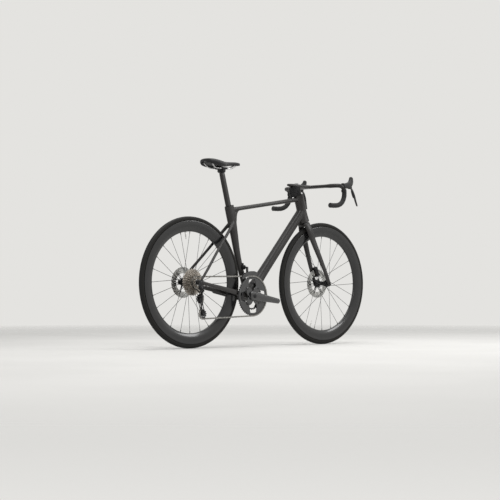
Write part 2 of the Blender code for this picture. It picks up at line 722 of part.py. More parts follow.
# Fork: crown, two blades and the steerer
CROWN_HALF_HEIGHT = 0.0105
FORK_DROPOUT_Y = FRONT_SPACING / 2 + DROPOUT_THICKNESS / 2
crown = head_low - STEER_UP * (CROWN_GAP + CROWN_HALF_HEIGHT)
STEERER_TOP_Z = BAR_CLAMP_Z + 0.008


def fork_blade(name, side, look=None, grow=0.0, collection=cutters):
    inner = TYRE_WIDTH / 2 + TYRE_ROOM
    thin = DROPOUT_THICKNESS / 2
    shape = [
        (0.0, inner + 0.0010, 0.0215, 0.0085), (0.10, inner + 0.0090, 0.0220, 0.0085),
        (0.28, inner + 0.0115, 0.0200, 0.0078), (0.55, FORK_DROPOUT_Y * 0.78, 0.0165, 0.0070),
        (0.78, FORK_DROPOUT_Y - 0.0035, 0.0140, 0.0055), (0.94, FORK_DROPOUT_Y, 0.0130, thin),
        (1.02, FORK_DROPOUT_Y, 0.0130, thin), (1.045, FORK_DROPOUT_Y, 0.0080, thin),
    ]
    along = (front_axle - crown).normalized()
    ahead = Y.cross(along) * -1.0
    stations = [(crown.lerp(front_axle, t) + Y * (side * y), Y, half_width, ahead, half_depth)
                for t, y, half_depth, half_width in shape]
    return grown_loft(name, stations, look, grow, collection, 2.3, 12)


crown_half = [(-0.0300, 0.015, 0.60), (-0.024, 0.0225, 0.95), (0.0, 0.027, 1.0)]
crown_shape = crown_half + [(-y, d, h) for y, d, h in reversed(crown_half[:-1])]
fork = grown_loft(
    "fork",
    [(crown + Y * y, STEER_AHEAD, d, STEER_UP, CROWN_HALF_HEIGHT * h) for y, d, h in crown_shape],
    CARBON, 0.0, parts, 2.6, 16)
unite(fork, fork_blade("blade", 1), fork_blade("blade", -1),
      rod("steerer", crown, steer_point(STEERER_TOP_Z), STEERER_RADIUS, None, cutters, 20))
cut(fork, bore(front_axle - Y * 0.08, front_axle + Y * 0.08, AXLE_RADIUS + GAP, 16))

front_thru_axle = thru_axle("front_thru_axle", front_axle, FRONT_SPACING / 2)
rear_thru_axle = thru_axle("rear_thru_axle", rear_axle, REAR_SPACING / 2)

# One-piece handlebar and stem
stem_shape = [(-0.165, 0.015, 0.0130), (-0.135, 0.0205, 0.0160), (-0.095, 0.0215, 0.0160),
              (-0.050, 0.0225, 0.0125), (-0.012, 0.0300, 0.0105), (0.010, 0.0360, 0.0080)]
bar_clamp = steer_point(BAR_CLAMP_Z) + X * STEM_REACH


def stem_skin(name, look=None, grow=0.0, collection=cutters):
    stations = [(bar_clamp + X * along, Y, half_width, Z, half_height)
                for along, half_width, half_height in stem_shape]
    return grown_loft(name, stations, look, grow, collection, 3.0)


def drop_line(side):
    """Centre line of one bend and drop, from the tops to the bar's end."""
    shoulder = BAR_HALF_WIDTH
    shape = [
        (0.007, shoulder - 0.050, 0.0), (0.009, shoulder - 0.034, 0.0), (0.016, shoulder - 0.014, 0.0),
        (0.031, shoulder - 0.003, -0.001), (BAR_REACH - 0.013, shoulder, -0.007),
        (BAR_REACH - 0.003, shoulder, -0.021), (BAR_REACH, shoulder + DROP_FLARE * 0.15, -0.043),
        (BAR_REACH - 0.008, shoulder + DROP_FLARE * 0.35, -0.070),
        (BAR_REACH - 0.027, shoulder + DROP_FLARE * 0.55, 0.018 - BAR_DROP),
        (BAR_REACH - 0.056, shoulder + DROP_FLARE * 0.75, 0.004 - BAR_DROP),
        (BAR_REACH - 0.089, shoulder + DROP_FLARE * 0.9, -BAR_DROP),
        (BAR_REACH - 0.124, shoulder + DROP_FLARE, -BAR_DROP),
    ]
    return [bar_clamp + Vector((x, side * y, z)) for x, y, z in shape]


HOOD_JOINT = 4
DROP_SIDES = 10
CAP_WALL = 0.0025
TOP_SHAPE = (
    (BAR_HALF_WIDTH - 0.048, 0.007, 0.0122, 0.0118), (BAR_HALF_WIDTH - 0.086, 0.005, 0.0185, 0.0095),
    (0.045, 0.002, 0.0215, 0.0095),
)
top_stations = [(side * y, x, d, h) for side in (-1, 1) for y, x, d, h in TOP_SHAPE[::-side]]
handlebar = grown_loft(
    "handlebar", [(bar_clamp + Vector((x, y, 0)), X, d, Z, h) for y, x, d, h in top_stations],
    CARBON, 0.0, parts, 2.3, 12)
unite(handlebar, stem_skin("stem"),
      *[swept("drop", drop_line(side), DROP_TUBE_RADIUS, None, DROP_SIDES, cutters) for side in (1, -1)])
steerer_top = steer_point(STEERER_TOP_Z)
cut(handlebar,
    bore(steer_point(BAR_CLAMP_Z - 0.04), steerer_top + STEER_UP * 0.03, STEERER_RADIUS + GAP),
    bore(steerer_top + STEER_UP * GAP, steerer_top + STEER_UP * 0.03, STEERER_RADIUS + CAP_WALL))
stem_cap = rod("stem_cap", steerer_top + STEER_UP * (2 * GAP), steerer_top + STEER_UP * 0.0075,
               STEERER_RADIUS + CAP_WALL - GAP, GLOSS_CARBON, sides=20)

spacer_low = head_high + STEER_UP * CROWN_GAP
spacer_centre = spacer_low - STEER_AHEAD * 0.0175
spacer_stations = [(spacer_centre + STEER_UP * rise, STEER_AHEAD, 0.0390, Y, 0.0195)
                   for rise in (0.0, SPACER_STACK + 0.012)]
headset_spacers = grown_loft("headset_spacers", spacer_stations, SOFT_RUBBER, 0.0, parts, 2.2, 16, 0.25)
cut(headset_spacers, stem_skin("stem", grow=GAP),
    bore(head_high - STEER_UP * 0.01, steerer_top, STEERER_RADIUS + GAP))

for thing in (fork, front_thru_axle, handlebar, stem_cap, headset_spacers):
    hang(thing, steering_pivot)

# Bar tape, brake hoods, brake levers and shift paddles
TAPE_START = 5
LEVER_PIVOT_OFFSET = Vector((0.086, 0, -0.0015))
HOOD_LENGTH = 0.103
HOOD_TIP_RISE = 0.056
LEVER_BOSS_RADIUS = 0.0055


def flip(vector, side):
    return Vector((vector[0], side * vector[1], vector[2]))


def bar_bore(side):
    line = drop_line(side)
    tail = line[-1] + (line[-1] - line[-2]).normalized() * 0.01
    radius = (DROP_TUBE_RADIUS + GAP) / math.cos(math.pi / DROP_SIDES)
    return swept("bar_bore", [*line, tail], radius, None, DROP_SIDES, cutters)


def hood_base(side):
    return drop_line(side)[HOOD_JOINT] + Vector((0.002, 0, 0.004))


def lever_pivot(side):
    inset = HOOD_TIP_INSET * 0.7
    return hood_base(side) + flip((LEVER_PIVOT_OFFSET.x, -inset, LEVER_PIVOT_OFFSET.z), side)


def hood(name, side):
    line = [(0.0, 0.0, 0.0), (0.27, 0.13, 0.07), (0.54, 0.40, 0.16), (0.78, 0.67, 0.30), (0.94, 0.90, 0.61),
            (1.0, 1.0, 1.0)]
    base = hood_base(side)
    places = [base + flip((HOOD_LENGTH * x, -HOOD_TIP_INSET * y, HOOD_TIP_RISE * z), side) for x, y, z in line]
    return path_loft(name, places, (0.0135, 0.0145, 0.0155, 0.0145, 0.0120, 0.0080),
                     (0.0160, 0.0165, 0.0165, 0.0165, 0.0140, 0.0100), SOFT_RUBBER, Y, count=12)


def lever_blade(name, side, look=None, grow=0.0, collection=cutters):
    line = [(0, 0, 0), (0.012, 0, -0.012), (0.026, 0.002, -0.040), (0.036, 0.005, -0.072),
            (0.046, 0.008, -0.100)]
    places = [lever_pivot(side) + flip(p, side) for p in line]
    return path_loft(name, places, (0.0055, 0.0070, 0.0078, 0.0066, 0.0045),
                     (0.0040, 0.0036, 0.0031, 0.0030, 0.0030), look, Y, grow, collection, count=8)


def lever_boss(name, side, grow=0.0):
    reach = Y * (0.0072 + grow)
    radius = (LEVER_BOSS_RADIUS + grow) / (math.cos(math.pi / 12) if grow else 1.0)
    return rod(name, lever_pivot(side) - reach, lever_pivot(side) + reach, radius, None, cutters, 12)


paddle_line = [(0.0097, -0.001, -0.018), (0.0179, 0.001, -0.037), (0.0242, 0.003, -0.056)]
for side, word in ((1, "left"), (-1, "right")):
    hood_piece = hood("hood_" + word, side)
    cut(hood_piece, bar_bore(side), lever_boss("boss_room", side, RUN),
        lever_blade("blade_room", side, grow=RUN))
    line = drop_line(side)[TAPE_START:]
    tape = swept("bar_tape_" + word, line, DROP_TUBE_RADIUS + TAPE_THICKNESS, SOFT_RUBBER, 10)
    cut(tape, bar_bore(side))
    lever_axis = pivot("lever_pivot_" + word, lever_pivot(side), Y, X, steering_pivot)
    lever = lever_blade("brake_lever_" + word, side, BLACK_METAL, 0.0, parts)
    unite(lever, lever_boss("boss", side))
    places = [lever_pivot(side) + flip(p, side) for p in paddle_line]
    paddle = path_loft("shift_paddle_" + word, places, (0.0050, 0.0075, 0.0060), (0.0011, 0.0011, 0.0011),
                       BLACK_METAL, Y, count=8)
    hinge = (places[1] - places[0]).normalized().cross(Y)
    paddle_axis = pivot("paddle_pivot_" + word, places[0], hinge, Y, lever_axis)
    hang(hood_piece, steering_pivot)
    hang(tape, steering_pivot)
    hang(lever, lever_axis)
    hang(paddle, paddle_axis)


# Gears
def pitch_radius(teeth):
    return CHAIN_PITCH / (2 * math.sin(math.pi / teeth))


TOOTH_RISE = 0.0010
TOOTH_ROOT = 0.0036


def toothed(teeth):
    """Outline of a sprocket: three points for each tooth."""
    radius, points = pitch_radius(teeth), []
    for tooth in range(teeth):
        for share, reach in ((-0.50, -TOOTH_ROOT), (-0.14, TOOTH_RISE), (0.14, TOOTH_RISE)):
            angle = math.tau * (tooth + share) / teeth
            points.append(((radius + reach) * math.cos(angle), (radius + reach) * math.sin(angle)))
    return points


def cog_y(index):
    """The chain's cog lies on the chain line; larger cogs lie inboard of it."""
    return -CHAIN_LINE + (index - CHAIN_COG) * COG_SPACING


def cassette_profile():
    """From the inboard end out; each cog is a disc to its tooth tips, with a groove between."""
    bore_radius = AXLE_RADIUS + RUN
    points = [(bore_radius, FREEHUB_Y - END_PLAY)]
    for index in reversed(range(len(COG_TEETH))):
        tip = pitch_radius(COG_TEETH[index]) + TOOTH_RISE
        floor = pitch_radius(COG_TEETH[max(index - 1, 0)]) - 0.006
        start = FREEHUB_Y - END_PLAY if index == len(COG_TEETH) - 1 else cog_y(index) + COG_THICKNESS / 2
        face = cog_y(index) - COG_THICKNESS / 2
        points += [(tip, start), (tip, face), (floor, face)]
        if index:
            points.append((floor, cog_y(index - 1) + COG_THICKNESS / 2))
    lock_end = cog_y(0) - 0.0022
    points += [(points[-1][0], lock_end), (0.0095, lock_end), (0.0095, -rear_end), (bore_radius, -rear_end)]
    return points


cassette_pivot = pivot("cassette_pivot", rear_axle, Y, X)
cassette = turned("cassette", cassette_profile(), rear_axle, Y, COG_STEEL, 16)
hang(cassette, cassette_pivot)

# Cranks and chainrings
crank_pivot = pivot("crank_pivot", bottom_bracket_centre, Y, X)
CRANK_FORWARD = Vector((math.cos(CRANK_DROP_ANGLE), 0, -math.sin(CRANK_DROP_ANGLE)))
outer_ring_y = -CHAIN_LINE
inner_ring_y = -CHAIN_LINE + RING_SPACING
RING_HOLE_RADIUS = 0.048
BOLT_CIRCLE_RADIUS = 0.055
BOLT_RADIUS = 0.0045
SPIDER_THICKNESS = 0.0050
ARM_HALF_THICKNESS = 0.0070
arm_root_y = CHAIN_LINE + RING_THICKNESS / 2 + GAP + SPIDER_THICKNESS + ARM_HALF_THICKNESS - 0.001
bolt_places = [(BOLT_CIRCLE_RADIUS * math.cos(a), BOLT_CIRCLE_RADIUS * math.sin(a))
               for a in (math.radians(48 + 90 * k) for k in range(4))]


def arm(name, side, forward):
    """A crank arm with its flat pedal boss; forward points from the spindle to the pedal."""
    face = PEDAL_FACE_SPAN / 2
    tip_y = face - ARM_HALF_THICKNESS - 0.0006
    across = forward.cross(Y)
    shape = [(-0.13, arm_root_y, 0.0140, 0.60), (-0.06, arm_root_y, 0.0200, 1.0),
             (0.10, arm_root_y, 0.0205, 1.0),
             (0.45, (arm_root_y + tip_y) / 2, 0.0165, 0.95),
             (0.92, tip_y, 0.0130, 0.90), (1.06, tip_y, 0.0085, 0.80)]
    stations = [(bottom_bracket_centre + forward * (CRANK_LENGTH * t) + Y * (side * y), across, half_width,
                 Y, ARM_HALF_THICKNESS * h) for t, y, half_width, h in shape]
    made = grown_loft(name, stations, BLACK_METAL, 0.0, parts, 2.8, 12)
    eye = bottom_bracket_centre + forward * CRANK_LENGTH
    boss = rod("pedal_boss", eye + Y * (side * (face - 0.0135)), eye + Y * (side * face), 0.0125, None, cutters)
    return unite(made, boss)


def star(arms, reach, valley, half_width):
    points = []
    for u, v in arms:
        angle = math.atan2(v, u)
        points += [(valley * math.cos(angle - math.pi / 4), valley * math.sin(angle - math.pi / 4))]
        points += [(reach * math.cos(angle + s), reach * math.sin(angle + s))
                   for s in (-half_width / reach, half_width / reach)]
    return points


right_arm = arm("crank_arm_right", -1, CRANK_FORWARD)
spider_y = outer_ring_y - RING_THICKNESS / 2 - GAP - SPIDER_THICKNESS / 2
spider = plate("spider", star(bolt_places, BOLT_CIRCLE_RADIUS + 0.007, 0.026, 0.009), [], SPIDER_THICKNESS,
               bottom_bracket_centre + Y * spider_y, None, collection=cutters)
bolts = []
bolt_start = Y * (spider_y - 0.002)
bolt_end = Y * (inner_ring_y - RING_THICKNESS / 2 - GAP)
for u, v in bolt_places:
    place = bottom_bracket_centre + X * u + Z * v
    bolts.append(rod("bolt", place + bolt_start, place + bolt_end, BOLT_RADIUS, None, cutters, 10))
spindle_end = arm_root_y + ARM_HALF_THICKNESS - 0.0005
spindle = rod("spindle", bottom_bracket_centre - Y * arm_root_y, bottom_bracket_centre + Y * spindle_end,
              SPINDLE_RADIUS, None, cutters, SPINDLE_SIDES)
unite(right_arm, spider, *bolts, spindle)
left_arm = arm("crank_arm_left", 1, -CRANK_FORWARD)
left_root = bottom_bracket_centre + Y * arm_root_y
cut(left_arm, bore(left_root - Y * 0.02, left_root + Y * 0.02, SPINDLE_RADIUS + GAP, SPINDLE_SIDES))
bolt_holes = [circle((BOLT_RADIUS + GAP) / math.cos(math.pi / 10), 10, place) for place in bolt_places]
ring_hole = circle(RING_HOLE_RADIUS, 24)
outer_chainring = plate("outer_chainring", toothed(OUTER_TEETH), [ring_hole, *bolt_holes], RING_THICKNESS,
                        bottom_bracket_centre + Y * outer_ring_y, BLACK_METAL)
inner_chainring = plate("inner_chainring", toothed(INNER_TEETH), [ring_hole], RING_THICKNESS,
                        bottom_bracket_centre + Y * inner_ring_y, BLACK_METAL)
for thing in (right_arm, left_arm, outer_chainring, inner_chainring):
    hang(thing, crank_pivot)

# Chain: a channel whose open side takes the teeth, run round rings, cog and pulleys
CHAIN_HALF_HEIGHT = 0.0042
CHANNEL_HALF = 0.0014
CHANNEL_FLOOR = 0.0022
guide_centre = rear_axle + Vector((GUIDE_PULLEY_AHEAD, -CHAIN_LINE, -GUIDE_PULLEY_DROP))
tension_centre = rear_axle + Vector((TENSION_PULLEY_AHEAD, -CHAIN_LINE, -TENSION_PULLEY_DROP))
chain_stops = [
    (bottom_bracket_centre, pitch_radius(OUTER_TEETH), 1, 16),
    (rear_axle, pitch_radius(COG_TEETH[CHAIN_COG]), 1, 8),
    (guide_centre, pitch_radius(PULLEY_TEETH), -1, 5),
    (tension_centre, pitch_radius(PULLEY_TEETH), 1, 8),
]


def heading(from_stop, to_stop):
    """Direction of the straight run that leaves one wheel and meets the next."""
    (a, ra, sa, _), (b, rb, sb, _) = from_stop, to_stop
    reach = b - a
    span = math.hypot(reach.x, reach.z)
    return math.atan2(reach.z, reach.x) + math.asin((sa * ra - sb * rb) / span)


def chain_path():
    """Points of the chain's pitch line with the headings there."""
    made = []
    count = len(chain_stops)
    for i, stop in enumerate(chain_stops):
        centre, radius, turn, steps = stop
        arrive = heading(chain_stops[i - 1], stop)
        leave = heading(stop, chain_stops[(i + 1) % count])
        sweep = (leave - arrive) * turn % math.tau
        for k in range(steps + 1):
            angle = arrive + turn * sweep * k / steps
            outward = Vector((math.sin(angle), 0, -math.cos(angle))) * turn
            made.append((Vector((centre.x, -CHAIN_LINE, centre.z)) + outward * radius, angle))
    return made


def chain_loop(name, look):
    bm = bmesh.new()
    w, h, g = CHAIN_WIDTH / 2 - 0.0003, CHAIN_HALF_HEIGHT, CHANNEL_HALF
    section = [(-w, -h), (w, -h), (w, h), (g, h), (g, -CHANNEL_FLOOR), (-g, -CHANNEL_FLOOR), (-g, h), (-w, h)]
    rows = []
    for place, angle in chain_path():
        inward = Vector((-math.sin(angle), 0, math.cos(angle)))
        rows.append([bm.verts.new(place + Y * u + inward * v) for u, v in section])
    for row, ahead in zip(rows, rows[1:] + rows[:1]):
        for i in range(len(section)):
            j = (i + 1) % len(section)
            bm.faces.new((row[i], row[j], ahead[j], ahead[i]))
    bmesh.ops.recalc_face_normals(bm, faces=bm.faces)
    mesh = bpy.data.meshes.new(name)
    bm.to_mesh(mesh)
    bm.free()
    return smooth(add_object(name, mesh, look))


chain_loop("chain", CHAIN_STEEL)


# Rear derailleur: hanger and fixed knuckle, two links, moving knuckle, cage and pulleys
def hull(discs, count=10):
    """Convex outline round discs given as (u, v, radius)."""
    cloud = sorted({(round(u + x, 7), round(v + y, 7)) for u, v, r in discs for x, y in circle(r, count)})

    def half(points):
        edge = []
        for p in points:
            while len(edge) > 1 and ((edge[-1][0] - edge[-2][0]) * (p[1] - edge[-2][1])
                                     - (edge[-1][1] - edge[-2][1]) * (p[0] - edge[-2][0])) <= 0:
                edge.pop()
            edge.append(p)
        return edge[:-1]

    return half(cloud) + half(cloud[::-1])


HANGER_THICKNESS = 0.0050
LINK_SPACING = 0.0140
LINK_SWING_OUT = math.radians(-14.0)
LINK_SWING_IN = math.radians(36.0)
LINK_THICKNESS = 0.0034
LINK_WIDTH = 0.0120
BARREL_RADIUS = 0.0040
PULLEY_BOLT_RADIUS = 0.0028
CAGE_PLATE = 0.0014
CAGE_HALF_GAP = 0.0050
hanger_y = -(REAR_SPACING / 2 + DROPOUT_THICKNESS + GAP + HANGER_THICKNESS / 2)
hanger_bolt = rear_axle + Vector((-0.008, 0, -0.030))
cage_axis = guide_centre + Vector((-0.003, 0, 0.012))
knuckle_inner = -CHAIN_LINE - CAGE_HALF_GAP - CAGE_PLATE - GAP
knuckle_outer = knuckle_inner - 0.018
link_root = Vector((hanger_bolt.x + 0.010, hanger_y - 0.012, hanger_bolt.z - 0.003))
link_tip = Vector((cage_axis.x + 0.003, (knuckle_inner + knuckle_outer) / 2 - 0.003, cage_axis.z + 0.027))
link_along = (link_tip - link_root).normalized()
link_axis = link_along.cross(Vector((0, 0.80, -0.60))).normalized()
link_apart = link_axis.cross(link_along)


def link_ends(side):
    shift = link_apart * (side * LINK_SPACING / 2)
    return link_root + shift, link_tip + shift


def barrel(name, centre, grow=0.0):
    reach = link_axis * (LINK_WIDTH / 2 + grow)
    radius = (BARREL_RADIUS + grow) / (math.cos(math.pi / 10) if grow else 1.0)
    return rod(name, centre - reach, centre + reach, radius, None, cutters, 10)


def link_block(name, centre, away):
    """The part of a knuckle that carries both links' barrels; it lies on the away side."""
    size = (0.010, LINK_SPACING + 0.007, LINK_WIDTH + 0.003)
    return box(name, centre + link_along * (away * size[0] / 2), size, None, cutters,
               (link_along, link_apart, link_axis))


def swing_rooms(centre):
    """Room for both barrels, and a fan for each link over its swing."""
    rooms = []
    reach = (link_tip - link_root).length
    half = LINK_THICKNESS / 2 + RUN
    middle = (LINK_SWING_OUT + LINK_SWING_IN) / 2
    for side in (1, -1):
        axle = centre + link_apart * (side * LINK_SPACING / 2)
        fan = [(0, 0, half)] + [(reach * math.cos(turn), reach * math.sin(turn), half)
                                for turn in (LINK_SWING_OUT, middle, LINK_SWING_IN)]
        rooms.append(barrel("room", axle, RUN))
        rooms.append(plate("room", hull(fan, 8), [], LINK_WIDTH + 2 * RUN, axle, None, link_along, link_apart,
                           cutters))
    return rooms


bolt_offset = hanger_bolt - rear_axle
hanger_outline = hull([(0, 0, 0.0115), (bolt_offset.x, bolt_offset.z, 0.0095)])
hanger = plate("derailleur_hanger", hanger_outline, [], HANGER_THICKNESS, rear_axle + Y * hanger_y, BLACK_METAL)
knuckle_root = Vector((hanger_bolt.x, hanger_y, hanger_bolt.z))
unite(hanger, rod("knuckle", knuckle_root, knuckle_root - Y * 0.019, 0.0105, None, cutters, 16),
      link_block("block", link_root, -1))
cut(hanger, *swing_rooms(link_root))

link_pivots = []
for side, word in ((-1, "outer"), (1, "inner")):
    root, tip = link_ends(side)
    link_pivot = pivot("rd_" + word + "_link_pivot", root, link_axis, link_along)
    size = ((tip - root).length - 0.001, LINK_THICKNESS, LINK_WIDTH - 0.0004)
    link = box("rd_" + word + "_link", (root + tip) / 2, size, BLACK_METAL, parts,
               (link_along, link_apart, link_axis))
    unite(link, barrel("barrel", root), barrel("barrel", tip))
    hang(link, link_pivot)
    link_pivots.append(link_pivot)

knuckle_pivot = pivot("rd_knuckle_pivot", link_ends(-1)[1], link_axis, link_along, link_pivots[0])
CAGE_PIN_RADIUS = 0.0040
CAGE_PIN_DEPTH = 0.0070


def on_cage_axis(y):
    return Vector((cage_axis.x, y, cage_axis.z))


knuckle = rod("rd_knuckle", on_cage_axis(knuckle_outer), on_cage_axis(knuckle_inner), 0.0110, BLACK_METAL)
block_centre = link_tip + link_along * 0.007
web_centre = (block_centre + on_cage_axis(block_centre.y)) / 2 + Vector((0.003, 0, -0.001))
unite(knuckle, link_block("block", link_tip, 1),
      box("web", web_centre, (0.008, 0.009, block_centre.z - cage_axis.z), None, cutters))
cut(knuckle, *[barrel("room", end, RUN) for end in (link_ends(1)[1], link_ends(-1)[1])],
    bore(on_cage_axis(knuckle_inner - CAGE_PIN_DEPTH - 0.001), on_cage_axis(knuckle_inner + 0.01),
         CAGE_PIN_RADIUS + RUN, 12))

cage_pivot = pivot("rd_cage_pivot", cage_axis, Y, X, knuckle_pivot)
cage_discs = [(guide_centre.x, guide_centre.z, 0.0085), (tension_centre.x, tension_centre.z, 0.0085)]
head_disc = (cage_axis.x, cage_axis.z, 0.0095)
outer_plate_y = -CHAIN_LINE - CAGE_HALF_GAP - CAGE_PLATE / 2
inner_plate_y = -CHAIN_LINE + CAGE_HALF_GAP + CAGE_PLATE / 2
cage = plate("rd_cage", hull([*cage_discs, head_disc]), [], CAGE_PLATE, Y * outer_plate_y, BLACK_METAL)
cage_bolts = [rod("bolt", Vector((c.x, outer_plate_y, c.z)), Vector((c.x, inner_plate_y, c.z)),
                  PULLEY_BOLT_RADIUS, None, cutters, 10) for c in (guide_centre, tension_centre)]
unite(cage, *cage_bolts,
      plate("inner_plate", hull(cage_discs), [], CAGE_PLATE, Y * inner_plate_y, None, collection=cutters),
      rod("cage_pin", on_cage_axis(knuckle_inner - CAGE_PIN_DEPTH), on_cage_axis(outer_plate_y),
          CAGE_PIN_RADIUS, None, cutters, 12))


def pulley(name, centre, outer, look=BLACK_METAL):
    side = CAGE_HALF_GAP - 0.0006
    hub_radius = 0.0065
    web = 0.0011
    profile = mirrored([(PULLEY_BOLT_RADIUS + RUN, side), (hub_radius, side), (hub_radius, web), (outer, web)])
    made = turned(name, profile, centre, Y, look, 18)
    spin = pivot(name + "_pivot", centre, Y, X, cage_pivot)
    return hang(made, spin)


hang(knuckle, knuckle_pivot)
hang(cage, cage_pivot)
pulley("rd_guide_pulley", guide_centre, pitch_radius(PULLEY_TEETH) - CHAIN_HALF_HEIGHT - 0.0010)
pulley("rd_tension_pulley", tension_centre, pitch_radius(PULLEY_TEETH) + TOOTH_RISE - 0.0004)

# Front derailleur: a body on the seat tube and a hinged cage over the outer ring
FD_PIVOT_Z = BB_Z + 0.152
FD_CAGE_HALF = 0.0062
FD_PLATE = 0.0014
fd_base = seat_point(FD_PIVOT_Z) + SEAT_AHEAD * 0.004
fd_pivot_point = Vector((fd_base.x + 0.004, -0.0310, FD_PIVOT_Z))
FD_PIN_RADIUS = 0.0025
fd_body = box("front_derailleur_body", (fd_base.x, -0.0175, FD_PIVOT_Z), (0.022, 0.0150, 0.024), BLACK_METAL)
unite(fd_body, rod("ear", fd_pivot_point - X * 0.011, fd_pivot_point, 0.0065, None, cutters, 12),
      box("neck", (fd_base.x - 0.002, -0.0265, FD_PIVOT_Z), (0.010, 0.009, 0.009), None, cutters))
cut(fd_body, seat_tube_skin("seat", grow=GAP),
    bore(fd_pivot_point - X * 0.02, fd_pivot_point + X * 0.02, FD_PIN_RADIUS + RUN, 10))


def arc_plate(name, inner, outer, start, end, y, look, collection=parts):
    steps = 6
    angles = [math.radians(start + (end - start) * k / steps) for k in range(steps + 1)]
    points = [(outer * math.cos(a), outer * math.sin(a)) for a in angles]
    points += [(inner * math.cos(a), inner * math.sin(a)) for a in reversed(angles)]
    return plate(name, points, [], FD_PLATE, bottom_bracket_centre + Y * y, look, collection=collection)


fd_axis = pivot("front_derailleur_pivot", fd_pivot_point, X, Y)
FD_INNER_RADIUS = pitch_radius(OUTER_TEETH) + 0.0105
FD_OUTER_RADIUS = FD_INNER_RADIUS + 0.016
FD_ARC = (76, 128)
FD_PIN_REACH = 0.008
fd_cage = arc_plate("front_derailleur_cage", FD_INNER_RADIUS - 0.004, FD_OUTER_RADIUS, *FD_ARC,
                    -CHAIN_LINE - FD_CAGE_HALF, BLACK_METAL)
bridge_z = BB_Z + FD_OUTER_RADIUS - 0.003
arm_centre = (fd_pivot_point.x + 0.0065, -0.0350, (bridge_z + FD_PIVOT_Z) / 2)
unite(fd_cage,
      arc_plate("inner", FD_INNER_RADIUS - 0.008, FD_OUTER_RADIUS, *FD_ARC, -CHAIN_LINE + FD_CAGE_HALF,
                None, cutters),
      box("bridge", (BB_X - 0.004, -CHAIN_LINE, bridge_z), (0.014, 2 * FD_CAGE_HALF + 0.001, 0.003),
          None, cutters),
      box("arm", arm_centre, (0.009, 0.0130, FD_PIVOT_Z - bridge_z + 0.006), None, cutters),
      rod("pin", fd_pivot_point - X * 0.010, fd_pivot_point + X * FD_PIN_REACH, FD_PIN_RADIUS, None,
          cutters, 10))
hang(fd_cage, fd_axis)

# Disc brake calipers, seated on the fork blade and on the chainstay, with two pads each
CALIPER_LENGTH = 0.056
CALIPER_HALF_SLOT = 0.0055
PAD_GAP = 0.0004
PAD_SIZE = (0.026, 0.022)
CALIPER_REACH = 0.034


def caliper(name, axle, rotor_y, along, out, start, low, seats, inner_room, outer_room):
    """A block beside the stay; along runs from the axle up it, out points away from it."""
    centre = axle + along * (start + CALIPER_LENGTH / 2) + out * (low + CALIPER_REACH) * 0.5
    centre.y = rotor_y + (outer_room - inner_room) / 2
    size = (CALIPER_LENGTH, inner_room + outer_room, CALIPER_REACH - low)
    made = box(name, centre, size, BLACK_METAL, parts, (along, Y, out))
    edge = made.modifiers.new("edge", "BEVEL")
    edge.width = 0.004
    edge.segments = 1
    disc = rod("slot", axle + Y * (rotor_y - CALIPER_HALF_SLOT), axle + Y * (rotor_y + CALIPER_HALF_SLOT),
               ROTOR_RADIUS + 0.0025, None, cutters, 40)
    return cut(made, *seats, disc)


def pad(name, axle, rotor_y, along, out, start, low, side):
    reach = CALIPER_HALF_SLOT - ROTOR_THICKNESS / 2 - PAD_GAP - GAP
    centre = axle + along * (start + CALIPER_LENGTH * 0.42) + out * (low + 0.0125)
    centre.y = rotor_y + side * (ROTOR_THICKNESS / 2 + PAD_GAP + reach / 2)
    made = box(name, (0, 0, 0), (PAD_SIZE[0], reach, PAD_SIZE[1]), CERAMIC_PAD, parts, (along, Y, out))
    made.location = centre
    return made


blade_along = (crown - front_axle).normalized()
blade_out = Y.cross(blade_along)
stay_along = (bottom_bracket_centre - rear_axle).normalized()
stay_out = stay_along.cross(Y)
FRONT_CALIPER = (front_axle, FRONT_ROTOR_Y, blade_along, blade_out, 0.034)
REAR_CALIPER = (rear_axle, REAR_ROTOR_Y, stay_along, stay_out, 0.036)
front_caliper = caliper("front_caliper", *FRONT_CALIPER, 0.008,
                        [fork_blade("blade", 1, grow=GAP)], 0.0088, 0.0150)
rear_caliper = caliper("rear_caliper", *REAR_CALIPER, 0.005,
                       [chainstay_skin("stay", 1, grow=GAP), seatstay_skin("stay", 1, grow=GAP)],
                       0.0125, 0.0150)
hang(front_caliper, steering_pivot)
for end, place, parent in (("front", FRONT_CALIPER, steering_pivot), ("rear", REAR_CALIPER, None)):
    for side, word in ((-1, "inner"), (1, "outer")):
        pad_piece = pad(end + "_" + word + "_brake_pad", *place, 0.008, side)
        if parent is not None:
            hang(pad_piece, parent)

# Seatpost, clamp, rails and saddle
CLAMP_BARREL_RADIUS = 0.0110
CLAMP_LENGTH = 0.040
RAIL_SIDES = 8
RAIL_Z = SADDLE_TOP_Z - RAIL_DROP
clamp_centre = seat_point(RAIL_Z - 0.012)
post_pivot = pivot("seatpost_pivot", seat_point(SEAT_TUBE_TOP_Z), SEAT_UP, SEAT_AHEAD)
tilt_pivot = pivot("saddle_tilt_pivot", clamp_centre, Y, X, post_pivot)
slide_pivot = pivot("saddle_slide_pivot", clamp_centre, X, Y, tilt_pivot)
seatpost = post_skin("seatpost", POST_BOTTOM_Z, SADDLE_TOP_Z - POST_TOP_DROP, CARBON, 0.0, parts)
half_barrel = Y * 0.021
cut(seatpost,
    bore(clamp_centre - half_barrel * 2, clamp_centre + half_barrel * 2, CLAMP_BARREL_RADIUS + GAP, 20))
clamp = rod("saddle_clamp", clamp_centre - half_barrel, clamp_centre + half_barrel,
            CLAMP_BARREL_RADIUS, BLACK_METAL, sides=20)
cradle_size = (CLAMP_LENGTH, RAIL_SPACING + 0.014, 0.0115)
unite(clamp, box("cradle", (clamp_centre.x, 0, RAIL_Z), cradle_size, None, cutters),
      box("neck", (clamp_centre.x, 0, RAIL_Z - 0.006), (0.024, 0.030, 0.008), None, cutters))
past_clamp = X * (CLAMP_LENGTH / 2 + 0.03)
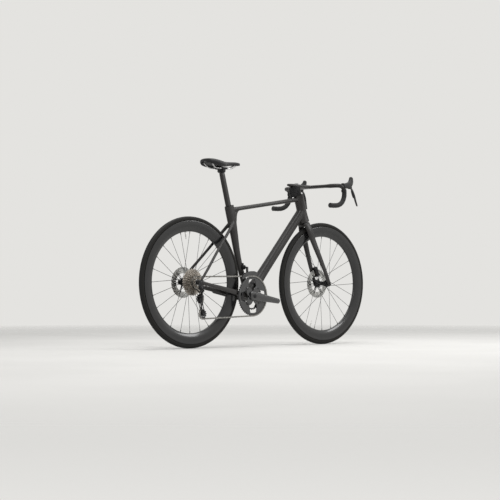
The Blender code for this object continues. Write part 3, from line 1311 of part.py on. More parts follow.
rail_places = [Vector((clamp_centre.x, side * RAIL_SPACING / 2, RAIL_Z)) for side in (-1, 1)]
cut(clamp, *[bore(place - past_clamp, place + past_clamp, RAIL_RADIUS + GAP, 10) for place in rail_places])

saddle_x = clamp_centre.x + SADDLE_AHEAD
half_rail = RAIL_SPACING / 2
rail_half = [Vector((saddle_x + x, half_rail + y, RAIL_Z + z)) for x, y, z in (
    (-0.098, 0.010, 0.0240), (-0.084, 0.005, 0.0100), (-0.062, 0.0, 0.0), (0.036, 0.0, 0.0),
    (0.066, -0.005, 0.007))]
rail_half += [Vector((saddle_x + x, y, RAIL_Z + z)) for x, y, z in (
    (0.096, 0.0085, 0.0205), (0.104, 0.0, 0.0245))]
rail_line = rail_half + [flip(p, -1) for p in reversed(rail_half[:-1])]
rails = swept("saddle_rails", rail_line, RAIL_RADIUS, STEEL, RAIL_SIDES)
SIDE_UNDERCUT = 0.62


def saddle_body():
    """Padding and shell as one cushion: a crowned top, drawn-in sides and a hollow under it."""
    rows = []
    shape = [  # share of length from the tail, half width, top, edge drop, thickness
        (0.0, 0.026, -0.004, 0.005, 0.014), (0.03, 0.046, -0.001, 0.008, 0.019),
        (0.12, 0.066, 0.0, 0.013, 0.023), (0.24, 0.071, -0.003, 0.015, 0.023),
        (0.38, 0.062, -0.008, 0.014, 0.021), (0.52, 0.041, -0.011, 0.010, 0.018),
        (0.68, 0.026, -0.011, 0.007, 0.015), (0.85, 0.021, -0.009, 0.006, 0.0135),
        (0.97, 0.017, -0.011, 0.005, 0.0125), (1.0, 0.010, -0.013, 0.004, 0.009),
    ]
    widest = max(width for _, width, _, _, _ in shape)
    half_outline = [  # share of width, edge drop, share of thickness
        (0.0, 0.16, 0.0), (0.36, 0.10, 0.0), (0.72, 0.45, 0.0), (0.96, 1.0, 0.0), (1.0, 1.0, 0.45),
        (0.86, 1.0, 0.92), (0.45, 0.55, 1.0),
    ]
    outline = [(-u, d, low) for u, d, low in reversed(half_outline)] + half_outline[1:]
    for share, width, top, drop, thick in shape:
        x = saddle_x + SADDLE_LENGTH * (share - 0.5)
        scale = width / widest * SADDLE_WIDTH / 2
        row = []
        for u, d, low in outline:
            under = thick * low * (1.0 if d < 1.0 else SIDE_UNDERCUT)
            row.append(Vector((x, u * scale, SADDLE_TOP_Z + top - drop * d - under)))
        rows.append(row)
    return loft("saddle", rows, SOFT_RUBBER)


saddle = saddle_body()
rail_room = (RAIL_RADIUS + GAP) / math.cos(math.pi / RAIL_SIDES)
cut(saddle, swept("rail_room", rail_line, rail_room, None, RAIL_SIDES, cutters))
for thing, parent in ((seatpost, post_pivot), (clamp, tilt_pivot), (rails, slide_pivot), (saddle, slide_pivot)):
    hang(thing, parent)
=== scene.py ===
"""Dresses a road bicycle: smooth carbon forms, wheels, gears, cockpit and saddle, each in its finish.

Metres, +X forward, +Y to the rider's left, +Z up; the origin lies on the ground midway between the axles.
"""
import json
from math import asin, atan2, copysign, cos, hypot, pi, radians, sin, tau

import bmesh
import bpy
import numpy as np
from mathutils import Matrix, Vector


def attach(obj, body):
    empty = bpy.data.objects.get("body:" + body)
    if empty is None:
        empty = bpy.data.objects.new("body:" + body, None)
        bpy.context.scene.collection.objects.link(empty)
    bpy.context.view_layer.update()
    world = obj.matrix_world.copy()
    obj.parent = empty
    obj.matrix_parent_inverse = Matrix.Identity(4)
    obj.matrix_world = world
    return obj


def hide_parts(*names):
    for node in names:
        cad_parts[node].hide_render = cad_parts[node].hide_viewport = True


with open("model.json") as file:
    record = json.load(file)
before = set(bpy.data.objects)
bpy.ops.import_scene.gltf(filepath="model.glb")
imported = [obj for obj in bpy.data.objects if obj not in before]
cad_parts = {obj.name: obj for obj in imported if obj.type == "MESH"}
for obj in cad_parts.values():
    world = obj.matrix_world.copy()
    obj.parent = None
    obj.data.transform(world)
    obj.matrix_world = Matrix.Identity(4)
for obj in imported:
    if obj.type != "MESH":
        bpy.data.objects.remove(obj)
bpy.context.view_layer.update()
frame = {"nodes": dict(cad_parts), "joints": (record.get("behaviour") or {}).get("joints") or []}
scene = bpy.context.scene
nodes = frame["nodes"]
joints = {joint["name"]: joint for joint in frame["joints"]}

X, Y, Z = Vector((1, 0, 0)), Vector((0, 1, 0)), Vector((0, 0, 1))


def pivot_of(name):
    """A point on a joint's axis."""
    return Vector(joints[name]["pos_m"])


def axis_of(name):
    """The direction of a joint's axis."""
    return Vector(joints[name]["axis"]).normalized()


FRONT_AXLE = pivot_of("front_wheel_spin")
REAR_AXLE = pivot_of("rear_wheel_spin")
CRANK_CENTRE = pivot_of("crank_spin")
STEER_UP = axis_of("steering")
STEER_AHEAD = Vector((STEER_UP.z, 0, -STEER_UP.x))
SEAT_UP = axis_of("seatpost_height")
SEAT_AHEAD = Vector((SEAT_UP.z, 0, -SEAT_UP.x))


# Shapes
def smooth_rows(rows, steps, closed=False):
    """Rows of numbers on a smooth line through the given rows, with that many steps a span."""
    count = len(rows)
    made = []
    for i in range(count if closed else count - 1):
        if closed:
            a, b, c, d = (rows[(i + k) % count] for k in (-1, 0, 1, 2))
        else:
            a, b, c, d = rows[max(i - 1, 0)], rows[i], rows[i + 1], rows[min(i + 2, count - 1)]
        for k in range(steps):
            t = k / steps
            made.append([0.5 * (2 * q + (r - p) * t + (2 * p - 5 * q + 4 * r - s) * t * t
                                + (3 * q - p - 3 * r + s) * t ** 3) for p, q, r, s in zip(a, b, c, d)])
    return made if closed else made + [list(rows[-1])]


def smooth_points(points, steps):
    return [Vector(row) for row in smooth_rows([list(p) for p in points], steps)]


def polar(radius, angle):
    """A point (u, v) at that radius and angle about the origin."""
    return radius * cos(angle), radius * sin(angle)


def ring_points(radius, count, centre=(0.0, 0.0)):
    """Points evenly round a circle."""
    circle = [polar(radius, tau * i / count) for i in range(count)]
    return [(centre[0] + u, centre[1] + v) for u, v in circle]


def wavy_ring(count, reach):
    """Points round a closed outline whose radius at an angle is reach(angle)."""
    return [polar(reach(angle), angle) for angle in (tau * k / count for k in range(count))]


def linked(name, data):
    """A new object in the scene that holds the data."""
    piece = bpy.data.objects.new(name, data)
    scene.collection.objects.link(piece)
    return piece


def mesh_piece(name, verts, faces, look=None):
    mesh = bpy.data.meshes.new(name)
    mesh.from_pydata(verts, [], faces)
    if look is not None:
        mesh.materials.append(look)
    return linked(name, mesh)


def shade(piece, angle=38.0):
    """Smooth shading, with sharp edges where faces meet at more than the angle."""
    piece.data.shade_smooth()
    piece.data.set_sharp_from_angle(angle=radians(angle))
    return piece


def clean(piece, merge=0.00001):
    """Merges doubles and turns the faces outward."""
    bm = bmesh.new()
    bm.from_mesh(piece.data)
    bmesh.ops.remove_doubles(bm, verts=bm.verts, dist=merge)
    bmesh.ops.recalc_face_normals(bm, faces=bm.faces)
    bm.to_mesh(piece.data)
    bm.free()
    return piece


def baked(piece):
    """Turns modifiers into a plain mesh in the world."""
    bpy.context.view_layer.update()
    graph = bpy.context.evaluated_depsgraph_get()
    mesh = bpy.data.meshes.new_from_object(piece.evaluated_get(graph))
    mesh.transform(piece.matrix_world)
    name = piece.name
    mesh.name = name
    made = linked(name, mesh)
    bpy.data.objects.remove(piece, do_unlink=True)
    made.name = name
    return made


def tube_between(rings, name, look=None, closed=False):
    """A skin over rings of equal count, with flat ends unless the rings close on themselves."""
    count = len(rings[0])
    verts = [point for points in rings for point in points]
    faces = []
    spans = len(rings) if closed else len(rings) - 1
    for i in range(spans):
        low, high = i * count, (i + 1) % len(rings) * count
        faces += [(low + k, low + (k + 1) % count, high + (k + 1) % count, high + k) for k in range(count)]
    if not closed:
        faces += [tuple(range(count))[::-1], tuple(range(len(verts) - count, len(verts)))]
    return shade(clean(mesh_piece(name, verts, faces, look)))


def oval(centre, side, half_side, up, half_up, power, count, lean=0.0):
    """A superellipse of points; lean makes its +side end blunter."""
    points = []
    for i in range(count):
        angle = tau * (i + 0.5) / count
        c, s = cos(angle), sin(angle)
        u = copysign(abs(c) ** (2 / power), c)
        v = copysign(abs(s) ** (2 / power), s) * (1 + lean * u)
        points.append(centre + side * (u * half_side) + up * (v * half_up))
    return points


def station_tube(name, stations, steps, power, count):
    """A tube through stations (centre, side, half side, up, half up)."""
    rings = []
    for row in smooth_rows([[*c, *s, a, *u, b] for c, s, a, u, b in stations], steps):
        centre, side, up = Vector(row[0:3]), Vector(row[3:6]).normalized(), Vector(row[7:10]).normalized()
        rings.append(oval(centre, side, row[6], up, row[10], power, count))
    return tube_between(rings, name)


def domed(rows, dome):
    """Adds shrinking rows past both ends of a line tube, which round them by that length."""
    made, rounds = list(rows), 5
    for end, inner in ((0, 1), (-1, -2)):
        out = (Vector(rows[end][0:3]) - Vector(rows[inner][0:3])).normalized()
        extra = []
        for k in range(1, rounds + 1):
            angle = pi / 2 * k / rounds
            row = list(rows[end])
            place = Vector(row[0:3]) + out * (dome * sin(angle))
            shrink = max(cos(angle), 0.06)
            row[0:3] = list(place)
            row[6] *= shrink
            row[10] *= shrink
            extra.append(row)
        made = extra[::-1] + made if end == 0 else made + extra
    return made


def line_tube(name, points, half_sides, half_ups, side_hint, steps, power, count, look=None, dome=0.0):
    """A tube whose sections stand square to the smooth line through its points."""
    rows = smooth_rows([[*p, a, b] for p, a, b in zip(points, half_sides, half_ups)], steps)
    flat = []
    for i, row in enumerate(rows):
        before, after = Vector(rows[max(i - 1, 0)][:3]), Vector(rows[min(i + 1, len(rows) - 1)][:3])
        along = (after - before).normalized()
        side = (side_hint - along * along.dot(side_hint)).normalized()
        up = along.cross(side)
        flat.append([*row[:3], *side, row[3], *up, row[4]])
    if dome:
        flat = domed(flat, dome)
    rings = [oval(Vector(r[0:3]), Vector(r[3:6]), r[6], Vector(r[7:10]), r[10], power, count) for r in flat]
    return tube_between(rings, name, look)


def turned(name, profile, centre, axis, steps, look=None, closed=True):
    """Turns (radius, height) points about an axis through centre; an open profile starts and ends on it."""
    turn = Vector(axis).to_track_quat("Z", "X").to_matrix()
    rings = []
    for k in range(steps):
        angle = tau * k / steps
        rings.append([turn @ Vector((r * cos(angle), r * sin(angle), h)) + Vector(centre)
                      for r, h in profile])
    if closed:
        return tube_between(rings, name, look, closed=True)
    verts = [point for points in rings for point in points]
    count = len(profile)
    faces = []
    for i in range(steps):
        low, high = i * count, (i + 1) % steps * count
        faces += [(low + k, low + k + 1, high + k + 1, high + k) for k in range(count - 1)]
    return shade(clean(mesh_piece(name, verts, faces, look)))


def at_y(point, y):
    """The same place in another plane square to Y."""
    return Vector((point.x, y, point.z))


def rounded_rod(name, start, end, radius, edge=0.0006, steps=32, look=None):
    """A solid bar between two points with eased edges."""
    start, end = Vector(start), Vector(end)
    length = (end - start).length
    edge = min(edge, radius * 0.5, length * 0.4)
    ease = [(radius - edge, 0), (radius - edge * 0.3, edge * 0.3), (radius, edge)]
    profile = [(0.00001, 0), *ease, *[(r, length - h) for r, h in reversed(ease)], (0.00001, length)]
    piece = turned(name, profile, start, end - start, steps, look, closed=False)
    return clean(piece, 0.00003)


def plate(name, outline, holes, thickness, centre, edge=0.0003):
    """A flat plate with holes and eased edges, square to Y, its outline in (x, z) about centre."""
    data = bpy.data.curves.new(name, "CURVE")
    data.dimensions = "2D"
    data.fill_mode = "BOTH"
    data.extrude = max(thickness / 2 - edge, 0.00005)
    data.bevel_depth = edge
    data.bevel_resolution = 0
    data.offset = -edge
    for loop in [outline, *holes]:
        line = data.splines.new("POLY")
        line.points.add(len(loop) - 1)
        line.use_cyclic_u = True
        for point, (u, v) in zip(line.points, loop):
            point.co = (u, v, 0, 1.0)
    guide = linked(name, data)
    turn = Matrix((X, Z, X.cross(Z))).transposed().to_4x4()
    turn.translation = centre
    guide.matrix_world = turn
    piece = clean(baked(guide))
    piece.data.materials.clear()
    return shade(piece, 30)


def block(name, centre, size, axes=(X, Y, Z), ease=0.002, segments=3):
    """A box with rounded edges."""
    bm = bmesh.new()
    bmesh.ops.create_cube(bm, size=1.0)
    turn = Matrix(axes).transposed()
    for vert in bm.verts:
        vert.co = Vector(centre) + turn @ Vector([c * s for c, s in zip(vert.co, size)])
    bmesh.ops.recalc_face_normals(bm, faces=bm.faces)
    bmesh.ops.bevel(bm, geom=bm.edges[:], offset=ease, segments=segments, profile=0.5, affect="EDGES")
    mesh = bpy.data.meshes.new(name)
    bm.to_mesh(mesh)
    bm.free()
    return shade(linked(name, mesh), 40)


def joined(name, pieces, look=None):
    """Makes one object of several, each keeping its own shell."""
    bm = bmesh.new()
    for piece in pieces:
        bm.from_mesh(piece.data)
        bpy.data.objects.remove(piece, do_unlink=True)
    mesh = bpy.data.meshes.new(name)
    bm.to_mesh(mesh)
    bm.free()
    if look is not None:
        mesh.materials.append(look)
    return shade(linked(name, mesh))


def trimmed(piece, cuts):
    """Cuts the skin flat at each (point, outward normal, reach) and closes the cut."""
    bm = bmesh.new()
    bm.from_mesh(piece.data)
    for point, normal, reach in cuts:
        near = [face for face in bm.faces if (face.calc_center_median() - point).length < reach]
        # Dictionaries keep their order, where a set's order changes from run to run
        verts = dict.fromkeys(vert for face in near for vert in face.verts)
        edges = dict.fromkeys(edge for face in near for edge in face.edges)
        bmesh.ops.bisect_plane(bm, geom=[*verts, *edges, *near], plane_co=point, plane_no=normal,
                               clear_outer=True)
        rim = [edge for edge in bm.edges if edge.is_boundary]
        bmesh.ops.holes_fill(bm, edges=rim, sides=0)
    bmesh.ops.recalc_face_normals(bm, faces=bm.faces)
    bm.to_mesh(piece.data)
    bm.free()
    return shade(piece, 48)


def settle(piece, body, slot, *cad_nodes):
    """The piece rides on a body and stands for the CAD nodes named; the slot is not used."""
    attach(piece, body)
    if cad_nodes:
        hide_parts(*cad_nodes)


def fitted(name, pieces, look, body, slot, *cad_nodes):
    """Joins pieces into one and settles it."""
    settle(joined(name, pieces, look), body, slot, *cad_nodes)


# Repeats, made with geometry nodes
def new_tree(name, *sockets):
    """An empty geometry tree with a geometry going in and out, and more inputs (label, kind)."""
    tree = bpy.data.node_groups.new(name, "GeometryNodeTree")
    tree.interface.new_socket("Geometry", in_out="INPUT", socket_type="NodeSocketGeometry")
    for label, kind in sockets:
        tree.interface.new_socket(label, in_out="INPUT", socket_type=kind)
    tree.interface.new_socket("Geometry", in_out="OUTPUT", socket_type="NodeSocketGeometry")
    return tree


def add(tree, kind, settings=None, links=None):
    """Adds a node with its settings; a link's value is a socket or a plain value."""
    made = tree.nodes.new(kind)
    for key, value in (settings or {}).items():
        setattr(made, key, value)
    for key, value in (links or {}).items():
        if isinstance(value, bpy.types.NodeSocket):
            tree.links.new(value, made.inputs[key])
        else:
            made.inputs[key].default_value = value
    return made


def around_axle_tree():
    """Copies of one piece, turned in equal steps about +Y through the origin."""
    tree = new_tree("around_axle", ("Count", "NodeSocketInt"), ("Finish", "NodeSocketMaterial"))
    given = add(tree, "NodeGroupInput").outputs
    dots = add(tree, "GeometryNodePoints", links={"Count": given["Count"]})
    step = add(tree, "ShaderNodeMath", {"operation": "DIVIDE"}, {0: tau, 1: given["Count"]})
    index = add(tree, "GeometryNodeInputIndex")
    turn = add(tree, "ShaderNodeMath", {"operation": "MULTIPLY"}, {0: index.outputs[0], 1: step.outputs[0]})
    spin = add(tree, "ShaderNodeCombineXYZ", links={"Y": turn.outputs[0]})
    copies = add(tree, "GeometryNodeInstanceOnPoints", links={
        "Points": dots.outputs[0], "Instance": given["Geometry"], "Rotation": spin.outputs[0]})
    real = add(tree, "GeometryNodeRealizeInstances", links={"Geometry": copies.outputs[0]})
    coloured = add(tree, "GeometryNodeSetMaterial", links={
        "Geometry": real.outputs[0], "Material": given["Finish"]})
    add(tree, "NodeGroupOutput", links={"Geometry": coloured.outputs[0]})
    return tree


def chain_tree():
    """Outer and inner links by turns along a closed path, each along the path's direction."""
    tree = new_tree("links_on_path", ("Links", "NodeSocketInt"), ("Outer Link", "NodeSocketObject"),
                    ("Inner Link", "NodeSocketObject"), ("Finish", "NodeSocketMaterial"))
    given = add(tree, "NodeGroupInput").outputs
    even = add(tree, "GeometryNodeResampleCurve", links={"Curve": given["Geometry"], "Count": given["Links"]})
    tangent = add(tree, "GeometryNodeInputTangent")
    turn = add(tree, "FunctionNodeAlignRotationToVector", {"axis": "X", "pivot_axis": "Y"},
               {"Vector": tangent.outputs[0]})
    index = add(tree, "GeometryNodeInputIndex")
    odd = add(tree, "ShaderNodeMath", {"operation": "MODULO"}, {0: index.outputs[0], 1: 2.0})
    first = add(tree, "ShaderNodeMath", {"operation": "SUBTRACT"}, {0: 1.0, 1: odd.outputs[0]})
    both = add(tree, "GeometryNodeJoinGeometry")
    for label, pick in (("Outer Link", odd), ("Inner Link", first)):
        shape = add(tree, "GeometryNodeObjectInfo", links={"Object": given[label]})
        copies = add(tree, "GeometryNodeInstanceOnPoints", links={
            "Points": even.outputs[0], "Selection": pick.outputs[0], "Instance": shape.outputs["Geometry"],
            "Rotation": turn.outputs[0]})
        tree.links.new(copies.outputs[0], both.inputs[0])
    real = add(tree, "GeometryNodeRealizeInstances", links={"Geometry": both.outputs[0]})
    coloured = add(tree, "GeometryNodeSetMaterial", links={
        "Geometry": real.outputs[0], "Material": given["Finish"]})
    add(tree, "NodeGroupOutput", links={"Geometry": coloured.outputs[0]})
    return tree


AROUND_AXLE = around_axle_tree()
LINKS_ON_PATH = chain_tree()


def with_nodes(piece, tree, **values):
    """Runs a node tree on a piece and keeps the result as a plain mesh."""
    change = piece.modifiers.new(tree.name, "NODES")
    change.node_group = tree
    for item in tree.interface.items_tree:
        key = item.name.replace(" ", "_").lower()
        if item.in_out == "INPUT" and key in values:
            change[item.identifier] = values[key]
    return baked(piece)


def around(name, piece, count, centre, look):
    """Repeats a piece that is modelled about the origin round +Y, then puts it at centre."""
    made = with_nodes(piece, AROUND_AXLE, count=count, finish=look)
    made.name = name
    made.data.transform(Matrix.Translation(centre))
    return shade(made)


# Finishes
def hex_colour(code):
    """A display colour as the linear values that shaders take."""
    values = [int(code[i:i + 2], 16) / 255 for i in (1, 3, 5)]
    return (*[v / 12.92 if v <= 0.04045 else ((v + 0.055) / 1.055) ** 2.4 for v in values], 1.0)


def new_look(name, **values):
    """A material and its main shader, with constant values on the shader's own sockets."""
    look = bpy.data.materials.new(name)
    look.use_nodes = True
    tree = look.node_tree
    skin = tree.nodes["Principled BSDF"]
    for key, value in values.items():
        skin.inputs[key.replace("_", " ")].default_value = value
    return look, tree, skin


def place_of(tree, scale=(1.0, 1.0, 1.0), turn=(0.0, 0.0, 0.0)):
    """Places in the object's own metres, turned and stretched."""
    here = add(tree, "ShaderNodeTexCoord")
    return add(tree, "ShaderNodeMapping", links={
        "Vector": here.outputs["Object"], "Rotation": turn, "Scale": scale}).outputs[0]


def speckle(tree, size, place=None, detail=3.0):
    """Noise whose blotches are about that many metres across."""
    place = place or place_of(tree)
    return add(tree, "ShaderNodeTexNoise", links={
        "Vector": place, "Scale": 1.0 / size, "Detail": detail, "Roughness": 0.5}).outputs[0]


def between(tree, factor, low, high, first=0.0, last=1.0):
    """Maps a factor from first..last to low..high."""
    return add(tree, "ShaderNodeMapRange", links={
        "Value": factor, "From Min": first, "From Max": last, "To Min": low, "To Max": high}).outputs[0]


def two_tone(tree, factor, dark, light, first, last):
    """Goes from one colour to another while the factor goes from first to last."""
    ramp = add(tree, "ShaderNodeValToRGB", links={"Fac": factor})
    ramp.color_ramp.elements[0].position = first
    ramp.color_ramp.elements[0].color = hex_colour(dark)
    ramp.color_ramp.elements[1].position = last
    ramp.color_ramp.elements[1].color = hex_colour(light)
    return ramp.outputs[0]


def relief(tree, height, depth, strength):
    """A bump from a 0..1 height that stands for that many metres."""
    return add(tree, "ShaderNodeBump", links={
        "Height": height, "Distance": depth, "Strength": strength}).outputs[0]


def wire(tree, skin, **sources):
    """Links sources to the main shader's sockets of those names."""
    for key, source in sources.items():
        tree.links.new(source, skin.inputs[key.replace("_", " ")])


def clouded(name, clouds, tones, rough=None, grain=None, **values):
    """A finish whose tone and roughness waver in clouds (size, detail), with a grain in relief
    (size, detail, depth, strength)."""
    look, tree, skin = new_look(name, **values)
    cloud = speckle(tree, clouds[0], detail=clouds[1])
    wire(tree, skin, Base_Color=two_tone(tree, cloud, *tones))
    if rough:
        wire(tree, skin, Roughness=between(tree, cloud, *rough))
    if grain:
        size, detail, depth, strength = grain
        wire(tree, skin, Normal=relief(tree, speckle(tree, size, detail=detail), depth, strength))
    return look


def black_anodised(name, dark, light, gloss):
    """Forged or turned aluminium, bead-blasted and black anodised: a dark metal with a tight satin glow."""
    return clouded(name, (0.03, 2.0), (dark, light, 0.3, 0.7), (gloss, gloss + 0.08),
                   (0.0009, 1.0, 0.00002, 0.2), Metallic=0.85)


def rolled_metal(name, dark, light, rough, cloud_size=0.01):
    """Plain metal parts, stamped or drawn and then plated or polished, with faint cloudy handling marks."""
    return clouded(name, (cloud_size, 4.0), (dark, light, 0.3, 0.7), (rough, rough + 0.12), Metallic=1.0)


def gloss_carbon():
    """Unpainted carbon cloth under clear lacquer, polished: the plies show faintly as a twill of grey and
    black, 2 mm a tow drawn 4 mm so that it can be seen, under a sharp mirror-like coat."""
    look, tree, skin = new_look("lacquered_carbon_cloth", Coat_Weight=1.0, Coat_Roughness=0.045,
                                Roughness=0.38)
    place = place_of(tree, turn=(0.0, radians(45), 0.0))
    twill = add(tree, "ShaderNodeTexWave", {"wave_type": "BANDS", "bands_direction": "X"},
                {"Vector": place, "Scale": 0.5 / 0.004 / 3.1416, "Distortion": 0.6, "Detail": 1.0})
    wire(tree, skin, Base_Color=two_tone(tree, twill.outputs["Fac"], "#0f0f10", "#1a1a1c", 0.3, 0.7))
    return look


def sidewall_cotton():
    """Cotton casing under a thin black rubber film: threads laid at 45 degrees show as a fine slanting
    weave, a little browner and flatter than the tread; 0.4 mm threads are drawn 1.2 mm."""
    look, tree, skin = new_look("tyre_sidewall", Specular_IOR_Level=0.22)
    threads = add(tree, "ShaderNodeTexWave", {"bands_direction": "DIAGONAL"}, {
        "Vector": place_of(tree), "Scale": 1 / 0.0012 / 6.2832, "Distortion": 0.8, "Detail": 1.0})
    wire(tree, skin, Base_Color=two_tone(tree, threads.outputs["Fac"], "#161514", "#1e1d1a", 0.2, 0.8),
         Roughness=between(tree, threads.outputs["Fac"], 0.66, 0.80),
         Normal=relief(tree, threads.outputs["Fac"], 0.00005, 0.35))
    return look


def hood_rubber():
    """Moulded silicone-like rubber of the brake hoods, with small raised dots under the palm, 2 mm apart:
    matte with a soft waxy edge light."""
    look, tree, skin = new_look("hood_rubber", Specular_IOR_Level=0.3, Sheen_Weight=0.04, Sheen_Roughness=0.5)
    dots = add(tree, "ShaderNodeTexVoronoi", {"feature": "F1"}, {
        "Vector": place_of(tree), "Scale": 1 / 0.0024, "Randomness": 0.15})
    bump = between(tree, dots.outputs["Distance"], 1.0, 0.0, 0.15, 0.45)
    dust = speckle(tree, 0.02, detail=3.0)
    wire(tree, skin, Base_Color=two_tone(tree, dust, "#141414", "#1b1b1b", 0.3, 0.7),
         Roughness=between(tree, dust, 0.52, 0.64), Normal=relief(tree, bump, 0.0002, 0.55))
    return look


def bar_tape():
    """Foamed polyurethane tape, embossed with small pits and rubbed by hands: a matte grip whose pits,
    1.2 mm apart and drawn 2 mm, catch a little light."""
    look, tree, skin = new_look("polyurethane_tape", Specular_IOR_Level=0.28, Sheen_Weight=0.05,
                                Sheen_Roughness=0.45)
    pits = add(tree, "ShaderNodeTexVoronoi", {"feature": "SMOOTH_F1"}, {
        "Vector": place_of(tree), "Scale": 1 / 0.0020, "Smoothness": 0.4})
    dust = speckle(tree, 0.03, detail=4.0)
    wire(tree, skin, Base_Color=two_tone(tree, dust, "#141414", "#1d1d1d", 0.3, 0.7),
         Roughness=between(tree, dust, 0.58, 0.72),
         Normal=relief(tree, pits.outputs["Distance"], 0.0003, 0.5))
    return look


def saddle_cover():
    """Microfibre cover stretched over foam, finely grained like leather: soft black with a low silky
    sheen where it curves away, and a few wide streaks of wear."""
    look, tree, skin = new_look("microfibre_cover", Specular_IOR_Level=0.3, Sheen_Weight=0.06,
                                Sheen_Roughness=0.4)
    grain = add(tree, "ShaderNodeTexVoronoi", {"feature": "DISTANCE_TO_EDGE"}, {
        "Vector": place_of(tree), "Scale": 1 / 0.0016, "Randomness": 0.9})
    pebble = between(tree, grain.outputs["Distance"], 0.0, 1.0, 0.0, 0.25)
    wear = speckle(tree, 0.05, place_of(tree, scale=(0.5, 1.4, 1.0)), 4.0)
    wire(tree, skin, Base_Color=two_tone(tree, wear, "#141415", "#1c1c1d", 0.3, 0.7),
         Roughness=between(tree, wear, 0.44, 0.58), Normal=relief(tree, pebble, 0.0001, 0.4))
    return look


def brushed_metal(name, dark, light, rough, centre, fineness=0.0006):
    """Sheet steel ground in circles about the centre: fine rings that stretch the highlight across them."""
    look, tree, skin = new_look(name, Metallic=1.0)
    here = add(tree, "ShaderNodeTexCoord").outputs["Object"]
    out = add(tree, "ShaderNodeVectorMath", {"operation": "SUBTRACT"}, {0: here, 1: tuple(centre)}).outputs[0]
    flat = add(tree, "ShaderNodeVectorMath", {"operation": "MULTIPLY"},
               {0: out, 1: (1.0, 0.0, 1.0)}).outputs[0]
    reach = add(tree, "ShaderNodeVectorMath", {"operation": "LENGTH"}, {0: flat}).outputs["Value"]
    rings = add(tree, "ShaderNodeTexNoise", {"noise_dimensions": "1D"}, {
        "W": reach, "Scale": 1 / fineness, "Detail": 2.0}).outputs[0]
    wire(tree, skin, Base_Color=two_tone(tree, rings, dark, light, 0.3, 0.7),
         Roughness=between(tree, rings, rough, rough + 0.12), Normal=relief(tree, rings, 0.00002, 0.4))
    return look


# Moulded carbon fibre under a satin black paint: soft wide highlights, a faint mottling in the sheen
# and a slight orange-peel from the spray gun.
CARBON = clouded("satin_painted_carbon", (0.060, 4.0), ("#1b1918", "#232120", 0.35, 0.65), (0.38, 0.48),
                 (0.0016, 1.0, 0.00003, 0.25), Specular_IOR_Level=0.32, Coat_Weight=0.14, Coat_Roughness=0.30)
LACQUERED = gloss_carbon()
# Carbon rim wall in satin clear paint over unidirectional plies: nearly black, with a soft sheen that
# wavers slowly round the hoop.
RIM = clouded("satin_carbon_rim", (0.090, 2.0), ("#0f0f10", "#151516", 0.3, 0.7), (0.26, 0.36),
              Specular_IOR_Level=0.3, Coat_Weight=0.55, Coat_Roughness=0.10)
# Black road tyre rubber with carbon filler, moulded and then slightly dusty: deep matte black with a
# dry grey sheen and a fine grain on the tread.
RUBBER = clouded("road_tyre_rubber", (0.035, 5.0), ("#131313", "#1c1c1b", 0.35, 0.7), (0.60, 0.78),
                 (0.0011, 2.0, 0.00006, 0.5), Specular_IOR_Level=0.26)
SIDEWALL = sidewall_cotton()
HOOD = hood_rubber()
TAPE = bar_tape()
COVER = saddle_cover()
BLACK = black_anodised("black_anodised_alloy", "#232324", "#2b2b2c", 0.34)
DARK = black_anodised("dark_anodised_alloy", "#2f2f30", "#3a3a3b", 0.30)
# Forged aluminium painted in gloss black, as cranks and levers are: near-black with a clear, slightly
# wavy lacquer reflection.
ALLOY_PAINT = clouded("gloss_painted_alloy", (0.04, 2.0), ("#151516", "#1c1c1e", 0.3, 0.7), None,
                      (0.006, 1.0, 0.00006, 0.15), Coat_Weight=0.9, Coat_Roughness=0.10, Roughness=0.35)
FRONT_ROTOR_STEEL = brushed_metal("ground_rotor_steel_front", "#8f8f8d", "#b4b4b1", 0.24, FRONT_AXLE)
REAR_ROTOR_STEEL = brushed_metal("ground_rotor_steel_rear", "#8f8f8d", "#b4b4b1", 0.24, REAR_AXLE)
COG_STEEL = brushed_metal("plated_cog_steel", "#857f78", "#b7b0a6", 0.27, REAR_AXLE, 0.0012)
RAIL_STEEL = rolled_metal("drawn_rail_steel", "#a6a6a6", "#c4c4c4", 0.26)
BOLT_STEEL = rolled_metal("black_bolt_steel", "#3b3b3c", "#525253", 0.34, 0.004)
SPOKE_STEEL = rolled_metal("black_spoke_steel", "#2a2a2b", "#3d3d3e", 0.32, 0.02)
VALVE_ALLOY = rolled_metal("polished_alloy", "#b2b2b0", "#d0d0ce", 0.22, 0.01)
FIN_ALLOY = rolled_metal("bright_fin_alloy", "#a9a9a6", "#c6c6c3", 0.24, 0.02)
# Nickel-plated chain plates with a film of oil and grey dust: silver on the faces, dark in between.
CHAIN_NICKEL = clouded("oiled_nickel_chain", (0.004, 4.0), ("#5b5a58", "#a09e9a", 0.36, 0.62), (0.42, 0.26),
                       Metallic=1.0, Coat_Weight=0.25, Coat_Roughness=0.2)
# Glass-filled nylon, moulded with a spark-eroded grain: dull dark grey plastic.
PLASTIC = clouded("glass_filled_nylon", (0.0008, 2.0), ("#1a1a1b", "#202021", 0.3, 0.7), (0.48, 0.58),
                  (0.0008, 2.0, 0.00005, 0.4), Specular_IOR_Level=0.45)
# Sintered brake lining of copper, graphite and resin: a rough brown-grey block with metal flecks.
LINING = clouded("sintered_lining", (0.0007, 2.0), ("#2c2622", "#6f5b48", 0.5, 0.72), None,
                 (0.0007, 2.0, 0.0001, 0.6), Metallic=0.25, Roughness=0.8)


